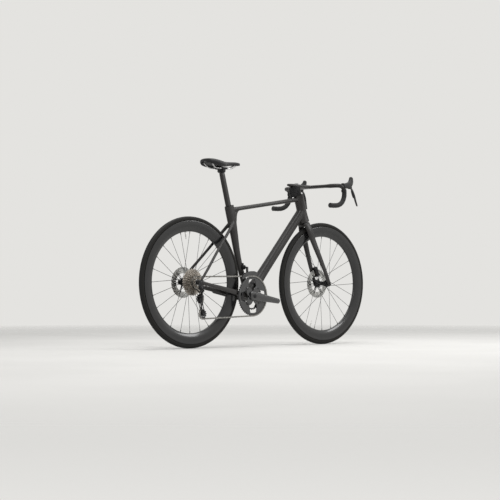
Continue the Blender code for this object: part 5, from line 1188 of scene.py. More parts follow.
def crank_arm(name, side, forward, node):
    """A broad hollow-forged arm whose flat outer face has bevelled edges."""
    across, out = forward.cross(Y), Y * side
    shape = [(-0.150, ARM_ROOT_Y, 0.0110, 0.0040), (-0.115, ARM_ROOT_Y, 0.0190, 0.0062),
             (-0.05, ARM_ROOT_Y, 0.0226, 0.0070), (0.10, ARM_ROOT_Y, 0.0232, 0.0070),
             (0.28, ARM_ROOT_Y + 0.0012, 0.0216, 0.0069),
             (0.45, (ARM_ROOT_Y + ARM_TIP_Y) / 2, 0.0194, 0.0067),
             (0.70, ARM_TIP_Y - 0.0014, 0.0166, 0.0065), (0.92, ARM_TIP_Y, 0.0146, 0.0063),
             (1.03, ARM_TIP_Y, 0.0134, 0.0060), (1.062, ARM_TIP_Y, 0.0112, 0.0052)]
    rings = []
    for t, y, half, thick in smooth_rows(shape, 5):
        centre = CRANK_CENTRE + forward * (CRANK_LENGTH * t) + Y * (side * y)
        bevel = min(0.0042, half * 0.5)
        low = min(0.0024, half * 0.3)
        outline = [(-half + bevel, thick), (-half + 0.0008, thick * 0.30), (-half, thick * 0.05),
                   (-half, -thick * 0.45), (-half + low, -thick), (half - low, -thick), (half, -thick * 0.45),
                   (half, thick * 0.05), (half - 0.0008, thick * 0.30), (half - bevel, thick)]
        rings.append([centre + across * u + out * v for u, v in outline])
    arm = tube_between(rings, "arm")
    ease = arm.modifiers.new("ease", "BEVEL")
    ease.width = 0.0005
    ease.segments = 2
    ease.limit_method = "ANGLE"
    ease.angle_limit = radians(28)
    arm = baked(arm)
    eye = CRANK_CENTRE + forward * CRANK_LENGTH
    inner, outer = eye + Y * (side * 0.0605), eye + Y * (side * 0.0738)
    boss = turned("boss", [(0.0071, 0.0), (0.0112, 0.0), (0.0118, 0.0008), (0.0118, 0.0118), (0.0110, 0.0130),
                           (0.0082, 0.0133), (0.0074, 0.0126), (0.0070, 0.0110), (0.0067, 0.0095),
                           (0.0070, 0.0080), (0.0067, 0.0065), (0.0070, 0.0050), (0.0067, 0.0035)],
                  inner, outer - inner, 40)
    fitted(name, [arm, boss], ALLOY_PAINT, "cranks", "black_metal", node)


def near_bolt(angle, least):
    """1 at the angle of a chainring bolt, 0 where the cosine of the angle to it is the least one."""
    return max(0.0, (max(cos(angle - turn) for turn in BOLT_ANGLES) - least) / (1 - least))


def spider_and_bolts():
    """Four slim arms behind the chainring, its bolts, the spindle and the covers at the bottom bracket."""
    outline = wavy_ring(144, lambda angle: 0.0255 + 0.0355 * near_bolt(angle, 0.72) ** 1.5)
    spider = plate("spider", outline, [], 0.0050, CRANK_CENTRE - Y * 0.0509, edge=0.0008)
    hub_cap = turned("hub", [(0.00001, 0.0), (0.0170, 0.0), (0.0182, 0.0010), (0.0186, 0.0040),
                             (0.00001, 0.0040)],
                     CRANK_CENTRE - Y * 0.0480, -Y, 48, closed=False)
    fitted("chainring_spider", [spider, hub_cap], ALLOY_PAINT, "cranks", "black_metal")
    bolts = []
    for turn in BOLT_ANGLES:
        place = CRANK_CENTRE + in_wheel(turn, BOLT_CIRCLE)
        bolts.append(hex_socket_bolt("bolt", place - Y * 0.0534, -Y, 0.0052, 0.0020))
        bolts.append(rounded_rod("nut", place - Y * 0.0400, place - Y * 0.0500, 0.0046, 0.0004, 20))
    fitted("chainring_bolts", bolts, BOLT_STEEL, "cranks", "black_metal")
    spindle = rounded_rod("spindle", CRANK_CENTRE - Y * 0.0560, CRANK_CENTRE + Y * 0.0640, 0.0119, look=DARK)
    settle(spindle, "cranks", "black_metal")
    left = CRANK_CENTRE + Y * (ARM_ROOT_Y + 0.0070)
    cap = turned("preload", [(0.00001, 0.0), (0.0125, 0.0), (0.0125, 0.0010), (0.0112, 0.0018),
                             (0.0060, 0.0018), (0.0054, 0.0004), (0.00001, 0.0004)],
                 left - Y * 0.0004, Y, 48, closed=False)
    right = CRANK_CENTRE - Y * (ARM_ROOT_Y + 0.0066)
    cover = turned("cover", [(0.00001, 0.0), (0.0118, 0.0), (0.0118, 0.0007), (0.0108, 0.0012),
                             (0.00001, 0.0012)],
                   right, -Y, 48, closed=False)
    fitted("crank_end_covers", [cap, cover], BLACK, "cranks", "black_metal")


def scalloped(widest, lobe):
    """The inner wall of a chainring: open between the spider's arms, with a lobe at each bolt."""
    return wavy_ring(180, lambda angle: widest - lobe * near_bolt(angle, 0.86) ** 0.8)


def chainrings():
    """A stepped outer ring with broad lobes for its bolts, and a smaller plain ring inside it."""
    holes = [ring_points(0.0047, 16, polar(BOLT_CIRCLE, turn)) for turn in BOLT_ANGLES]
    outer = plate("outer", sprocket_outline(OUTER_TEETH, 0.02), [scalloped(0.0905, 0.0425), *holes], 0.0022,
                  CRANK_CENTRE - Y * CHAIN_LINE)
    step = plate("step", ring_points(0.0985, 160), [scalloped(0.0895, 0.0415), *holes], 0.0036,
                 CRANK_CENTRE - Y * (CHAIN_LINE + 0.0009), edge=0.0007)
    inner = plate("inner", sprocket_outline(INNER_TEETH), [scalloped(0.0635, 0.0155), *holes], 0.0022,
                  CRANK_CENTRE - Y * 0.0395)
    fitted("outer_ring_plate", [outer], DARK, "cranks", "black_metal", "outer_chainring")
    fitted("outer_ring_step", [step], ALLOY_PAINT, "cranks", "black_metal")
    fitted("inner_ring_plate", [inner], DARK, "cranks", "black_metal", "inner_chainring")


# The chain's wheels in its order: centre, radius, way of turning and points on the arc
CHAIN_STOPS = [(CRANK_CENTRE, pitch_radius(OUTER_TEETH), 1, 64),
               (REAR_AXLE, pitch_radius(COG_TEETH[CHAIN_COG]), 1, 24),
               (GUIDE, pitch_radius(PULLEY_TEETH), -1, 16), (TENSION, pitch_radius(PULLEY_TEETH), 1, 24)]


def run_heading(start, goal):
    """Direction of the straight run that leaves one wheel and meets the next."""
    (a, ra, sa, _), (b, rb, sb, _) = start, goal
    span = hypot(b.x - a.x, b.z - a.z)
    return atan2(b.z - a.z, b.x - a.x) + asin((sa * ra - sb * rb) / span)


def chain_line():
    """The pitch line's points, on the arcs and evenly along the straight runs between them."""
    arcs = []
    for i, stop in enumerate(CHAIN_STOPS):
        centre, radius, turn, steps = stop
        arrive = run_heading(CHAIN_STOPS[i - 1], stop)
        leave = run_heading(stop, CHAIN_STOPS[(i + 1) % 4])
        sweep = (leave - arrive) * turn % tau
        arcs.append([])
        for k in range(steps + 1):
            angle = arrive + turn * sweep * k / steps
            outward = Vector((sin(angle), 0, -cos(angle))) * turn
            arcs[-1].append(at_y(centre, -CHAIN_LINE) + outward * radius)
    points = []
    for i, arc in enumerate(arcs):
        following = arcs[(i + 1) % 4][0]
        points += arc
        points += [arc[-1].lerp(following, k / 40) for k in range(1, 40)]
    return points


def link_plate(y, thick, waist):
    """One figure-of-eight plate of a chain link about the origin, its pins half a pitch away each way."""
    half, eye = CHAIN_PITCH / 2, 0.0041
    outline = []
    for side in (1, -1):
        for step in range(7):
            angle = radians(-105 + 35 * step) + (0 if side > 0 else pi)
            outline.append((side * half + eye * cos(angle), eye * sin(angle)))
        outline.append((0.0, side * waist))
    count = len(outline)
    verts = [(u, y + s * thick / 2, v) for s in (-1, 1) for u, v in outline]
    faces = [tuple(range(count)), tuple(range(count, 2 * count))]
    faces += [(k, (k + 1) % count, count + (k + 1) % count, count + k) for k in range(count)]
    return clean(mesh_piece("plate", verts, faces))


def chain():
    """One hundred and eight links, outer and inner by turns, laid by geometry nodes along the pitch line."""
    half = CHAIN_PITCH / 2
    outer = [link_plate(side * 0.00225, 0.0008, 0.0028) for side in (1, -1)]
    outer += [rounded_rod("pin", (x, -0.00285, 0), (x, 0.00285, 0), 0.0017, 0.0002, 8) for x in (half, -half)]
    inner = [link_plate(side * 0.00140, 0.0008, 0.0032) for side in (1, -1)]
    inner += [rounded_rod("roller", (x, -0.0010, 0), (x, 0.0010, 0), 0.0037, 0.0001, 10)
              for x in (half, -half)]
    outer_link, inner_link = joined("outer_link", outer), joined("inner_link", inner)
    data = bpy.data.curves.new("pitch_line", "CURVE")
    data.dimensions = "3D"
    points = chain_line()
    line = data.splines.new("POLY")
    line.points.add(len(points) - 1)
    line.use_cyclic_u = True
    for point, place in zip(line.points, points):
        point.co = (*place, 1.0)
    links = with_nodes(linked("drive_chain", data), LINKS_ON_PATH, links=108, outer_link=outer_link,
                       inner_link=inner_link, finish=CHAIN_NICKEL)
    for shape in (outer_link, inner_link):
        bpy.data.objects.remove(shape, do_unlink=True)
    settle(shade(links, 35), "frame", "chain_steel", "chain")


# Derailleurs
LINK_AXIS = axis_of("rd_outer_link_swing")
LINK_ROOT = (pivot_of("rd_outer_link_swing") + pivot_of("rd_inner_link_swing")) / 2
OUTER_ROOT, OUTER_TIP = pivot_of("rd_outer_link_swing"), pivot_of("rd_knuckle_swing")
LINK_SHIFT = OUTER_TIP - OUTER_ROOT
LINK_TIP = LINK_ROOT + LINK_SHIFT
LINK_ALONG = LINK_SHIFT.normalized()
LINK_APART = LINK_AXIS.cross(LINK_ALONG)
LINK_HALF_GAP = 0.0070
HANGER_Y = -0.0818
HANGER_BOLT = REAR_AXLE + Vector((-0.008, 0, -0.030))


def hull_outline(discs):
    """Convex outline round discs given as (u, v, radius)."""
    cloud = sorted({(round(u + x, 7), round(v + y, 7)) for u, v, r in discs for x, y in ring_points(r, 24)})

    def half(points):
        edge = []
        for p in points:
            while len(edge) > 1 and ((edge[-1][0] - edge[-2][0]) * (p[1] - edge[-2][1])
                                     - (edge[-1][1] - edge[-2][1]) * (p[0] - edge[-2][0])) <= 0:
                edge.pop()
            edge.append(p)
        return edge[:-1]

    return half(cloud) + half(cloud[::-1])


def link_block(name, centre):
    """A block between the two links, square to them."""
    return block(name, centre, (0.0112, 0.0210, 0.0150), (LINK_ALONG, LINK_APART, LINK_AXIS), 0.0034,
                 segments=4)


def link_pins(middle):
    """The pins through both links at one of their ends."""
    places = [middle + LINK_APART * (side * LINK_HALF_GAP) for side in (1, -1)]
    return [rounded_rod("pin", place - LINK_AXIS * 0.0088, place + LINK_AXIS * 0.0088, 0.0024, 0.0004, 16)
            for place in places]


def derailleur_hanger():
    """The tab under the rear axle, the derailleur's base on it, and their bolts and pins."""
    offset = HANGER_BOLT - REAR_AXLE
    tab = plate("tab", hull_outline([(0, 0, 0.0115), (offset.x, offset.z, 0.0095)]), [], 0.0050,
                REAR_AXLE + Y * HANGER_Y, edge=0.0007)
    head = at_y(HANGER_BOLT, HANGER_Y)
    base = turned("base", [(0.0, 0.0), (0.0092, 0.0), (0.0106, 0.0012), (0.0108, 0.0120), (0.0098, 0.0165),
                           (0.0072, 0.0190), (0.0062, 0.0192), (0.0056, 0.0180), (0.0, 0.0180)],
                  head - Y * 0.0022, -Y, 48, closed=False)
    body = link_block("body", LINK_ROOT - LINK_ALONG * 0.0056)
    fitted("derailleur_hanger_tab", [tab], DARK, "frame", "black_metal", "derailleur_hanger")
    fitted("rear_derailleur_base", [base, body], BLACK, "frame", "black_metal")
    axle_end = hex_socket_bolt("thread_end", REAR_AXLE + Y * (HANGER_Y - 0.0026), -Y, 0.0062, 0.0022)
    mount = hex_socket_bolt("mount_bolt", head - Y * 0.0201, -Y, 0.0052, 0.0018)
    fitted("hanger_bolts", [axle_end, mount, *link_pins(LINK_ROOT)], BOLT_STEEL, "frame",
           "black_metal")


def derailleur_links():
    """A broad sculpted outer link and a plain inner one."""
    for name, body, node, side, tall, thick in (("outer", "rd_outer", "rd_outer_link", -1, 0.0128, 0.0044),
                                                ("inner", "rd_inner", "rd_inner_link", 1, 0.0112, 0.0034)):
        root = LINK_ROOT + LINK_APART * (side * LINK_HALF_GAP)
        tip = root + LINK_SHIFT
        shares = (-0.10, 0.0, 0.25, 0.50, 0.75, 1.0, 1.10)
        talls = [tall * h / 2 for h in (0.72, 1.0, 1.0, 0.98, 1.0, 1.0, 0.72)]
        thicks = [thick * h / 2 for h in (1.3, 1.9, 1.15, 1.0, 1.15, 1.9, 1.3)]
        bar = line_tube("bar", [root.lerp(tip, t) for t in shares], talls, thicks, LINK_AXIS, 5, 3.6, 28,
                        dome=0.0008)
        fitted("rear_derailleur_" + name + "_link", [bar], ALLOY_PAINT if side < 0 else BLACK, body,
               "black_metal", node)


def derailleur_knuckle():
    """The body that carries the cage: a drum on the cage's axis and a neck up to the links."""
    inner, outer = -0.0537, -0.0717
    middle = at_y(CAGE_AXIS, (inner + outer) / 2)
    drum = turned("drum", [(0.0, 0.0), (0.0102, 0.0), (0.0110, 0.0008), (0.0112, 0.0110), (0.0104, 0.0150),
                           (0.0080, 0.0176), (0.0064, 0.0180), (0.0058, 0.0168), (0.0, 0.0168)],
                  at_y(CAGE_AXIS, inner), -Y, 48, closed=False)
    head = link_block("head", LINK_TIP + LINK_ALONG * 0.0058)
    start = LINK_TIP + LINK_ALONG * 0.0064
    neck = line_tube("neck", [start, start.lerp(middle, 0.5), middle],
                     (0.0070, 0.0062, 0.0075), (0.0052, 0.0050, 0.0060), Y, 6, 2.6, 28)
    body = fused("rear_derailleur_knuckle", [drum, head, neck], 0.0007, 3, BLACK)
    settle(body, "rd_knuckle_group", "black_metal", "rd_knuckle")
    bolt = hex_socket_bolt("bolt", at_y(CAGE_AXIS, outer + 0.0006), -Y, 0.0046, 0.0016)
    fitted("knuckle_bolts", [bolt, *link_pins(LINK_TIP)], BOLT_STEEL, "rd_knuckle_group",
           "black_metal")


def derailleur_cage():
    """Two plates with cut-outs, the outer one reaching up to the pivot, and the bolts through the pulleys."""
    discs = [(GUIDE.x, GUIDE.z, 0.0092), (TENSION.x, TENSION.z, 0.0092)]
    down = (TENSION - GUIDE).normalized()
    side = Vector((-down.z, 0, down.x))
    hole = [(0.27, 0.0022), (0.33, 0.0046), (0.52, 0.0046), (0.72, 0.0040), (0.78, 0.0020)]
    loop = [(GUIDE + (TENSION - GUIDE) * t + side * w) for t, w in hole]
    loop += [(GUIDE + (TENSION - GUIDE) * t - side * w) for t, w in reversed(hole)]
    window = [(p.x, p.z) for p in loop]
    outer = plate("outer", hull_outline([*discs, (CAGE_AXIS.x, CAGE_AXIS.z, 0.0100)]), [window], 0.0014,
                  Y * -0.0527)
    inner = plate("inner", hull_outline(discs), [window], 0.0014, Y * -0.0413)
    fitted("derailleur_cage_plates", [outer, inner], BLACK, "rd_cage_group", "black_metal", "rd_cage")
    bolts = []
    for place in (GUIDE, TENSION):
        middle = at_y(place, -0.0534)
        bolts.append(hex_socket_bolt("bolt", middle, -Y, 0.0040, 0.0014))
        bolts.append(rounded_rod("shank", middle, at_y(place, -0.0406), 0.0026, 0.0002, 16))
    fitted("pulley_bolts", bolts, BOLT_STEEL, "rd_cage_group", "black_metal")


def pulleys():
    for name, place, body, node in (("guide_pulley_wheel", GUIDE, "guide_pulley", "rd_guide_pulley"),
                                    ("tension_pulley_wheel", TENSION, "tension_pulley", "rd_tension_pulley")):
        holes = [ring_points(0.0066, 32), *[ring_points(0.0026, 16, spot) for spot in ring_points(0.0136, 6)]]
        wheel = plate("wheel", sprocket_outline(PULLEY_TEETH, 0.10, 0.0010, 0.0042), holes, 0.0021, place)
        fitted(name, [wheel], PLASTIC, body, "soft_rubber", node)
        ring = turned("bearing", [(0.0035, -0.0042), (0.0058, -0.0042), (0.0066, -0.0034), (0.0066, 0.0034),
                                  (0.0058, 0.0042), (0.0035, 0.0042)], place, Y, 40)
        fitted(name + "_bearing", [ring], BLACK, body, "black_metal")


def cage_band(start, end, low, high):
    """The outline of a cage plate: a band round the cranks between two angles, narrower at its ends."""
    def eased(share):
        return sin(pi * min(1.0, share) / 2)

    upper, lower = [], []
    for share in (k / 28 for k in range(29)):
        full = eased(share * 4.0) * eased((1 - share) * 5.0)
        angle = radians(start + (end - start) * share)
        upper.append(polar(high - 0.0055 * (1 - full), angle))
        lower.append(polar(low + 0.0035 * (1 - full), angle))
    return upper + lower[::-1]


def front_derailleur():
    """A body on the seat tube and a cage of two plates, bridged over the chain and hung on a pin."""
    pivot = pivot_of("front_derailleur_swing")
    base = seat_point(pivot.z) + SEAT_AHEAD * 0.004
    body = block("body", (base.x + 0.0005, -0.0175, pivot.z), (0.0220, 0.0152, 0.0240), ease=0.0045,
                 segments=4)
    neck = block("neck", (base.x - 0.0010, -0.0262, pivot.z), (0.0110, 0.0100, 0.0100), ease=0.0022)
    ear = rounded_rod("ear", pivot - X * 0.0112, pivot - X * 0.0002, 0.0064, 0.0010)
    mount = block("mount", (base.x - 0.0010, -0.0135, pivot.z + 0.0150), (0.0120, 0.0060, 0.0160),
                  ease=0.0020)
    settle(fused("front_derailleur_body_shell", [body, neck, ear, mount], 0.0008, 3, BLACK), "frame",
           "black_metal", "front_derailleur_body")
    bolt = hex_socket_bolt("bolt", Vector((base.x - 0.0010, -0.0165, pivot.z + 0.0175)), -Y, 0.0036, 0.0016)
    fitted("front_derailleur_bolt", [bolt], BOLT_STEEL, "frame", "black_metal")
    inner_radius = pitch_radius(OUTER_TEETH) + 0.0105
    outer_radius = inner_radius + 0.016
    plates = [plate("cage", cage_band(start, end, low, outer_radius), [], 0.0014, CRANK_CENTRE + Y * y)
              for start, end, low, y in ((74.0, 130.0, inner_radius - 0.0042, -0.0532),
                                         (76.0, 128.0, inner_radius - 0.0085, -0.0408))]
    bridge_z = CRANK_CENTRE.z + outer_radius - 0.003
    plates.append(block("bridge", (CRANK_CENTRE.x - 0.004, -CHAIN_LINE, bridge_z), (0.0140, 0.0126, 0.0030),
                        ease=0.0010))
    middle = (pivot.x + 0.0065, -0.0352, (bridge_z + pivot.z) / 2)
    plates.append(block("arm", middle, (0.0088, 0.0126, pivot.z - bridge_z + 0.0060), ease=0.0024))
    plates.append(rounded_rod("pin", pivot - X * 0.0100, pivot + X * 0.0080, 0.0025, 0.0003, 20))
    fitted("front_derailleur_cage_plates", plates, ALLOY_PAINT, "front_derailleur", "black_metal",
           "front_derailleur_cage")


# Brakes
def carved(piece, *cutters):
    """Cuts shapes out of a piece."""
    for cutter in cutters:
        change = piece.modifiers.new("cut", "BOOLEAN")
        change.operation = "DIFFERENCE"
        change.solver = "EXACT"
        change.object = cutter
    made = baked(piece)
    for cutter in cutters:
        bpy.data.objects.remove(cutter, do_unlink=True)
    return shade(made, 32)


def caliper(name, axle, rotor_y, along, out, start, low, inner_room, outer_room, body, node):
    """A flat-mount caliper: a bevelled two-piston block with a slot for the rotor, and its two long bolts.

    It lies along a way from the axle from start on, and from low to reach along out; the rooms are its
    width on the spokes' side of the rotor and on the far side."""
    long, reach = 0.056, 0.034
    middle = axle + along * (start + long / 2) + out * (low + reach) * 0.5
    middle.y = rotor_y + (outer_room - inner_room) / 2
    shell = block("shell", middle, (long, inner_room + outer_room, reach - low), (along, Y, out), 0.0042,
                  segments=4)
    piston = axle + along * (start + long * 0.42) + out * (low + 0.0125)
    piston.y = rotor_y + outer_room - 0.0030
    bulge = turned("bulge", [(0.0, 0.0), (0.0128, 0.0), (0.0128, 0.0030), (0.0116, 0.0046), (0.0070, 0.0050),
                             (0.0, 0.0050)],
                   piston, Y, 48, closed=False)
    slot = rounded_rod("slot", axle + Y * (rotor_y - 0.0055), axle + Y * (rotor_y + 0.0055), 0.0825,
                       0.0001, 96)
    window = block("window", axle + along * (start + long * 0.42) + out * (reach - 0.004) + Y * rotor_y,
                   (0.0240, 0.0110, 0.0200), (along, Y, out), 0.0010)
    fitted(name, [carved(shell, slot, window), bulge], BLACK, body, "black_metal", node)
    bolts = []
    for share in (0.10, 0.90):
        place = axle + along * (start + long * share) + out * (reach - 0.0014)
        place.y = rotor_y + 0.0102
        bolts.append(hex_socket_bolt("bolt", place, out, 0.0042, 0.0034))
    bleed = axle + along * (start + long * 0.74) + out * (reach - 0.001)
    bleed.y = rotor_y - inner_room * 0.1
    bolts.append(rounded_rod("bleed", bleed, bleed + out * 0.0050, 0.0026, 0.0005, 6))
    fitted(name + "_bolts", bolts, BOLT_STEEL, body, "black_metal")


def brakes():
    blade_along = (FORK_CROWN - FRONT_AXLE).normalized()
    stay_along = (CRANK_CENTRE - REAR_AXLE).normalized()
    caliper("front_brake_caliper", FRONT_AXLE, FRONT_ROTOR_Y, blade_along, Y.cross(blade_along), 0.034, 0.008,
            0.0088, 0.0150, "steering", "front_caliper")
    caliper("rear_brake_caliper", REAR_AXLE, REAR_ROTOR_Y, stay_along, stay_along.cross(Y), 0.036, 0.005,
            0.0125, 0.0150, "frame", "rear_caliper")
    for end in ("front", "rear"):
        for side in ("inner", "outer"):
            nodes[f"{end}_{side}_brake_pad"].material_slots[0].material = LINING


# Cockpit
HOOD_BASE_POINT = Vector((0.442, 0.206, 0.870))


def flip(vector, side):
    """A place on the left, or its mirror image on the right."""
    return Vector((vector[0], side * vector[1], vector[2]))


def hood_place(side, along, inward, rise):
    """A place on the hood, in shares of its length, its turn inward and its height."""
    return flip(HOOD_BASE_POINT + Vector((0.103 * along, -0.030 * inward, 0.056 * rise)), side)


def hood(side, word):
    """The moulded grip over the lever body: a collar at the bar, a waist and a turned-in horn."""
    line = [(0.0, 0.0, 0.0), (0.14, 0.05, 0.03), (0.27, 0.13, 0.07), (0.54, 0.40, 0.16), (0.78, 0.67, 0.30),
            (0.93, 0.88, 0.60), (0.985, 0.985, 0.93)]
    grip = line_tube("grip", [hood_place(side, *p) for p in line],
                     (0.0140, 0.0142, 0.0140, 0.0152, 0.0140, 0.0118, 0.0090),
                     (0.0168, 0.0160, 0.0150, 0.0160, 0.0162, 0.0140, 0.0105), Y, 10, 2.7, 48, dome=0.0065)
    line = ((-0.02, 0, -0.01), (0.03, 0.01, 0.01), (0.09, 0.03, 0.02))
    collar = line_tube("collar", [hood_place(side, *p) for p in line], (0.0142, 0.0154, 0.0146),
                       (0.0164, 0.0176, 0.0166), Y, 6, 2.5, 48)
    line = ((0.60, 0.44, 0.00), (0.76, 0.62, -0.02), (0.88, 0.72, 0.02))
    beak = line_tube("beak", [hood_place(side, *p) for p in line], (0.0098, 0.0092, 0.0076),
                     (0.0100, 0.0096, 0.0070), Y, 6, 2.6, 32, dome=0.003)
    skin = fused("hood_grip_" + word, [grip, collar, beak], 0.0011, 2, HOOD)
    settle(skin, "steering", "soft_rubber", "hood_" + word)


def lever(side, word):
    """A hollow-backed brake blade on its pin, with a shift paddle lying behind it."""
    pivot = pivot_of("brake_lever_" + word + "_pull")
    shape = [(0, 0, 0), (0.0120, 0, -0.0120), (0.0195, 0.001, -0.0255), (0.0260, 0.002, -0.0400),
             (0.0315, 0.0035, -0.0560), (0.0360, 0.005, -0.0720), (0.0410, 0.0065, -0.0870),
             (0.0460, 0.008, -0.1000)]
    places = [pivot + flip(p, side) for p in shape]
    blade = line_tube("blade", places, (0.0056, 0.0070, 0.0075, 0.0078, 0.0074, 0.0067, 0.0060, 0.0048),
                      (0.0040, 0.0036, 0.0033, 0.0031, 0.0030, 0.0030, 0.0030, 0.0029), Y, 6, 2.8, 32,
                      dome=0.0032)
    boss = rounded_rod("boss", pivot - Y * 0.0070, pivot + Y * 0.0070, 0.0054, 0.0008, 28)
    skin = fused("brake_blade_" + word, [blade, boss], 0.0008, 2, ALLOY_PAINT)
    settle(skin, "lever_" + word, "black_metal", "brake_lever_" + word)
    pin = rounded_rod("lever_pin_" + word, pivot - Y * 0.0112, pivot + Y * 0.0112, 0.0022, 0.0003, 16,
                      BOLT_STEEL)
    settle(pin, "steering", "black_metal")
    line = [(0.0097, -0.001, -0.018), (0.0140, 0.000, -0.0275), (0.0179, 0.001, -0.037),
            (0.0212, 0.002, -0.0465), (0.0242, 0.003, -0.056)]
    wing = line_tube("shift_wing_" + word, [pivot + flip(p, side) for p in line],
                     (0.0046, 0.0066, 0.0076, 0.0074, 0.0058), (0.0010, 0.0011, 0.0011, 0.0011, 0.0010),
                     Y, 6, 3.2, 28, PLASTIC, dome=0.0011)
    settle(wing, "paddle_" + word, "black_metal", "shift_paddle_" + word)


def wrapped_tape(side, word):
    """Foam tape wound round the drop in turns that lap each other, with a band at its top and an end plug."""
    points = smooth_points(drop_points(side, 5), 40)
    run, lengths = 0.0, [0.0]  # metres of bar passed at each point
    for a, b in zip(points, points[1:]):
        run += (b - a).length
        lengths.append(run)
    turn_length, around_count, rings = 0.021, 48, []
    for i, (point, s) in enumerate(zip(points, lengths)):
        along = (points[min(i + 1, len(points) - 1)] - points[max(i - 1, 0)]).normalized()
        side_way = (Y - along * along.dot(Y)).normalized()
        up = along.cross(side_way)
        ends = min(1.0, s / 0.003, (run - s) / 0.003)
        ring = []
        for k in range(around_count):
            angle = tau * k / around_count
            share = (s / turn_length + side * k / around_count) % 1.0
            lap = 0.0010 * (1 - share) * min(1.0, share / 0.06) + 0.0003 * sin(pi * share)
            radius = 0.0119 + (0.0005 + lap) * max(ends, 0.0)
            ring.append(point + side_way * (radius * cos(angle)) + up * (radius * sin(angle)))
        rings.append(ring)
    settle(tube_between(rings, "bar_tape_wrap_" + word, TAPE), "steering", "soft_rubber", "bar_tape_" + word)
    first, second = points[0], points[10]
    band = turned("tape_band_" + word, [(0.0120, 0.0), (0.0146, 0.0), (0.0148, 0.0005), (0.0148, 0.0115),
                                        (0.0146, 0.0120), (0.0120, 0.0120)],
                  first, second - first, 40, COVER)
    settle(band, "steering", "soft_rubber")
    end = points[-1]
    out = (points[-1] - points[-8]).normalized()
    plug = turned("bar_plug_" + word, [(0.00001, -0.0100), (0.0098, -0.0100), (0.0098, 0.0002),
                                       (0.0136, 0.0004), (0.0139, 0.0012), (0.0134, 0.0026), (0.0105, 0.0036),
                                       (0.0040, 0.0034), (0.00001, 0.0032)],
                  end, out, 40, PLASTIC, closed=False)
    settle(plug, "steering", "soft_rubber")


def cockpit():
    bar_and_stem()
    aero_spacers()
    stem_cap()
    for side, word in ((1, "left"), (-1, "right")):
        hood(side, word)
        lever(side, word)
        wrapped_tape(side, word)


# Saddle
SADDLE_MIDDLE_X = -0.273
SADDLE_LONG = 0.252
SADDLE_TOP = 0.986
RAIL_LEVEL = 0.938
# Share from the tail, half width, top against the highest point, drop to the edge and thickness
SADDLE_ROWS = [(0.0, 0.026, -0.004, 0.005, 0.014), (0.03, 0.046, -0.001, 0.008, 0.019),
               (0.12, 0.066, 0.0, 0.013, 0.023), (0.24, 0.071, -0.003, 0.015, 0.023),
               (0.38, 0.062, -0.008, 0.014, 0.021), (0.52, 0.041, -0.011, 0.010, 0.018),
               (0.68, 0.026, -0.011, 0.007, 0.015), (0.85, 0.021, -0.009, 0.006, 0.0135),
               (0.97, 0.017, -0.011, 0.005, 0.0125), (1.0, 0.010, -0.013, 0.004, 0.009)]


def relief_depth(share, across):
    """How far the pressure channel is sunk at a place on the top."""
    if not 0.10 < share < 0.90:
        return 0.0
    length_fade = min(1.0, (share - 0.10) / 0.10, (0.90 - share) / 0.12)
    length_fade = length_fade * length_fade * (3 - 2 * length_fade)
    half = 0.0125 - 0.0045 * share
    wall = max(0.0, 1.0 - (across / half) ** 2)
    return 0.0058 * length_fade * min(1.0, wall * 1.5)


def saddle_skin(name, shrink, low_share, look):
    """Rings across the saddle: crowned top, rolled edges, drawn-in sides and a base under it."""
    half_outline = [(0.0, 0.0, 0.0), (0.25, 0.02, 0.0), (0.50, 0.14, 0.0), (0.74, 0.40, 0.0),
                    (0.90, 0.74, 0.05), (0.985, 1.0, 0.20), (1.0, 1.05, 0.42), (0.95, 1.0, 0.68),
                    (0.86, 0.98, 0.88), (0.66, 0.8, 0.98), (0.32, 0.6, 1.0)]
    loop = [(-u, d, low) for u, d, low in reversed(half_outline)] + half_outline[1:]
    fine = smooth_rows([list(p) for p in loop], 7, closed=True)
    rings = []
    for share, width, top, drop, thick in smooth_rows([list(row) for row in SADDLE_ROWS], 9):
        x = SADDLE_MIDDLE_X + (SADDLE_LONG - 2 * shrink) * (share - 0.5)
        ring = []
        for u, edge, low in fine:
            across = u * (width - shrink)
            depth = (max(low, 0.0) + low_share) * thick * (0.62 if edge < 0.98 else 1.0)
            height = SADDLE_TOP + top - 0.0008 - drop * edge - depth
            if low < 0.02:
                height -= relief_depth(share, across)
            ring.append(Vector((x, across, height)))
        rings.append(ring)
    for end, source, out in ((0, rings[0], -1), (1, rings[-1], 1)):
        middle = sum(source, Vector()) / len(source)
        extra = []
        for angle in (30, 55, 78):
            a = radians(angle)
            extra.append([middle + (p - middle) * cos(a) + X * (out * 0.0030 * sin(a))
                          for p in source])
        rings = rings + extra if end else extra[::-1] + rings
    return tube_between(rings, name, look)


def saddle():
    cover = saddle_skin("saddle_cover", 0.0030, 0.0, COVER)
    cover.data.shade_smooth()
    settle(cover, "saddle_group", "soft_rubber", "saddle")
    base = saddle_skin("saddle_base", 0.0075, 0.10, PLASTIC)
    settle(base, "saddle_group", "soft_rubber")
    half = [(-0.098, 0.032, 0.0240), (-0.084, 0.027, 0.0100), (-0.062, 0.022, 0.0), (-0.013, 0.022, 0.0),
            (0.036, 0.022, 0.0), (0.066, 0.017, 0.007), (0.096, 0.0085, 0.0205), (0.104, 0.0, 0.0245)]
    path = half + [(x, -y, z) for x, y, z in reversed(half[:-1])]
    places = [Vector((SADDLE_MIDDLE_X + x, y, RAIL_LEVEL + z)) for x, y, z in path]
    count = len(places)
    rails = line_tube("saddle_rail_loop", places, [0.0035] * count, [0.0035] * count, Z, 8, 2.0, 20,
                      RAIL_STEEL)
    settle(rails, "saddle_group", "steel", "saddle_rails")


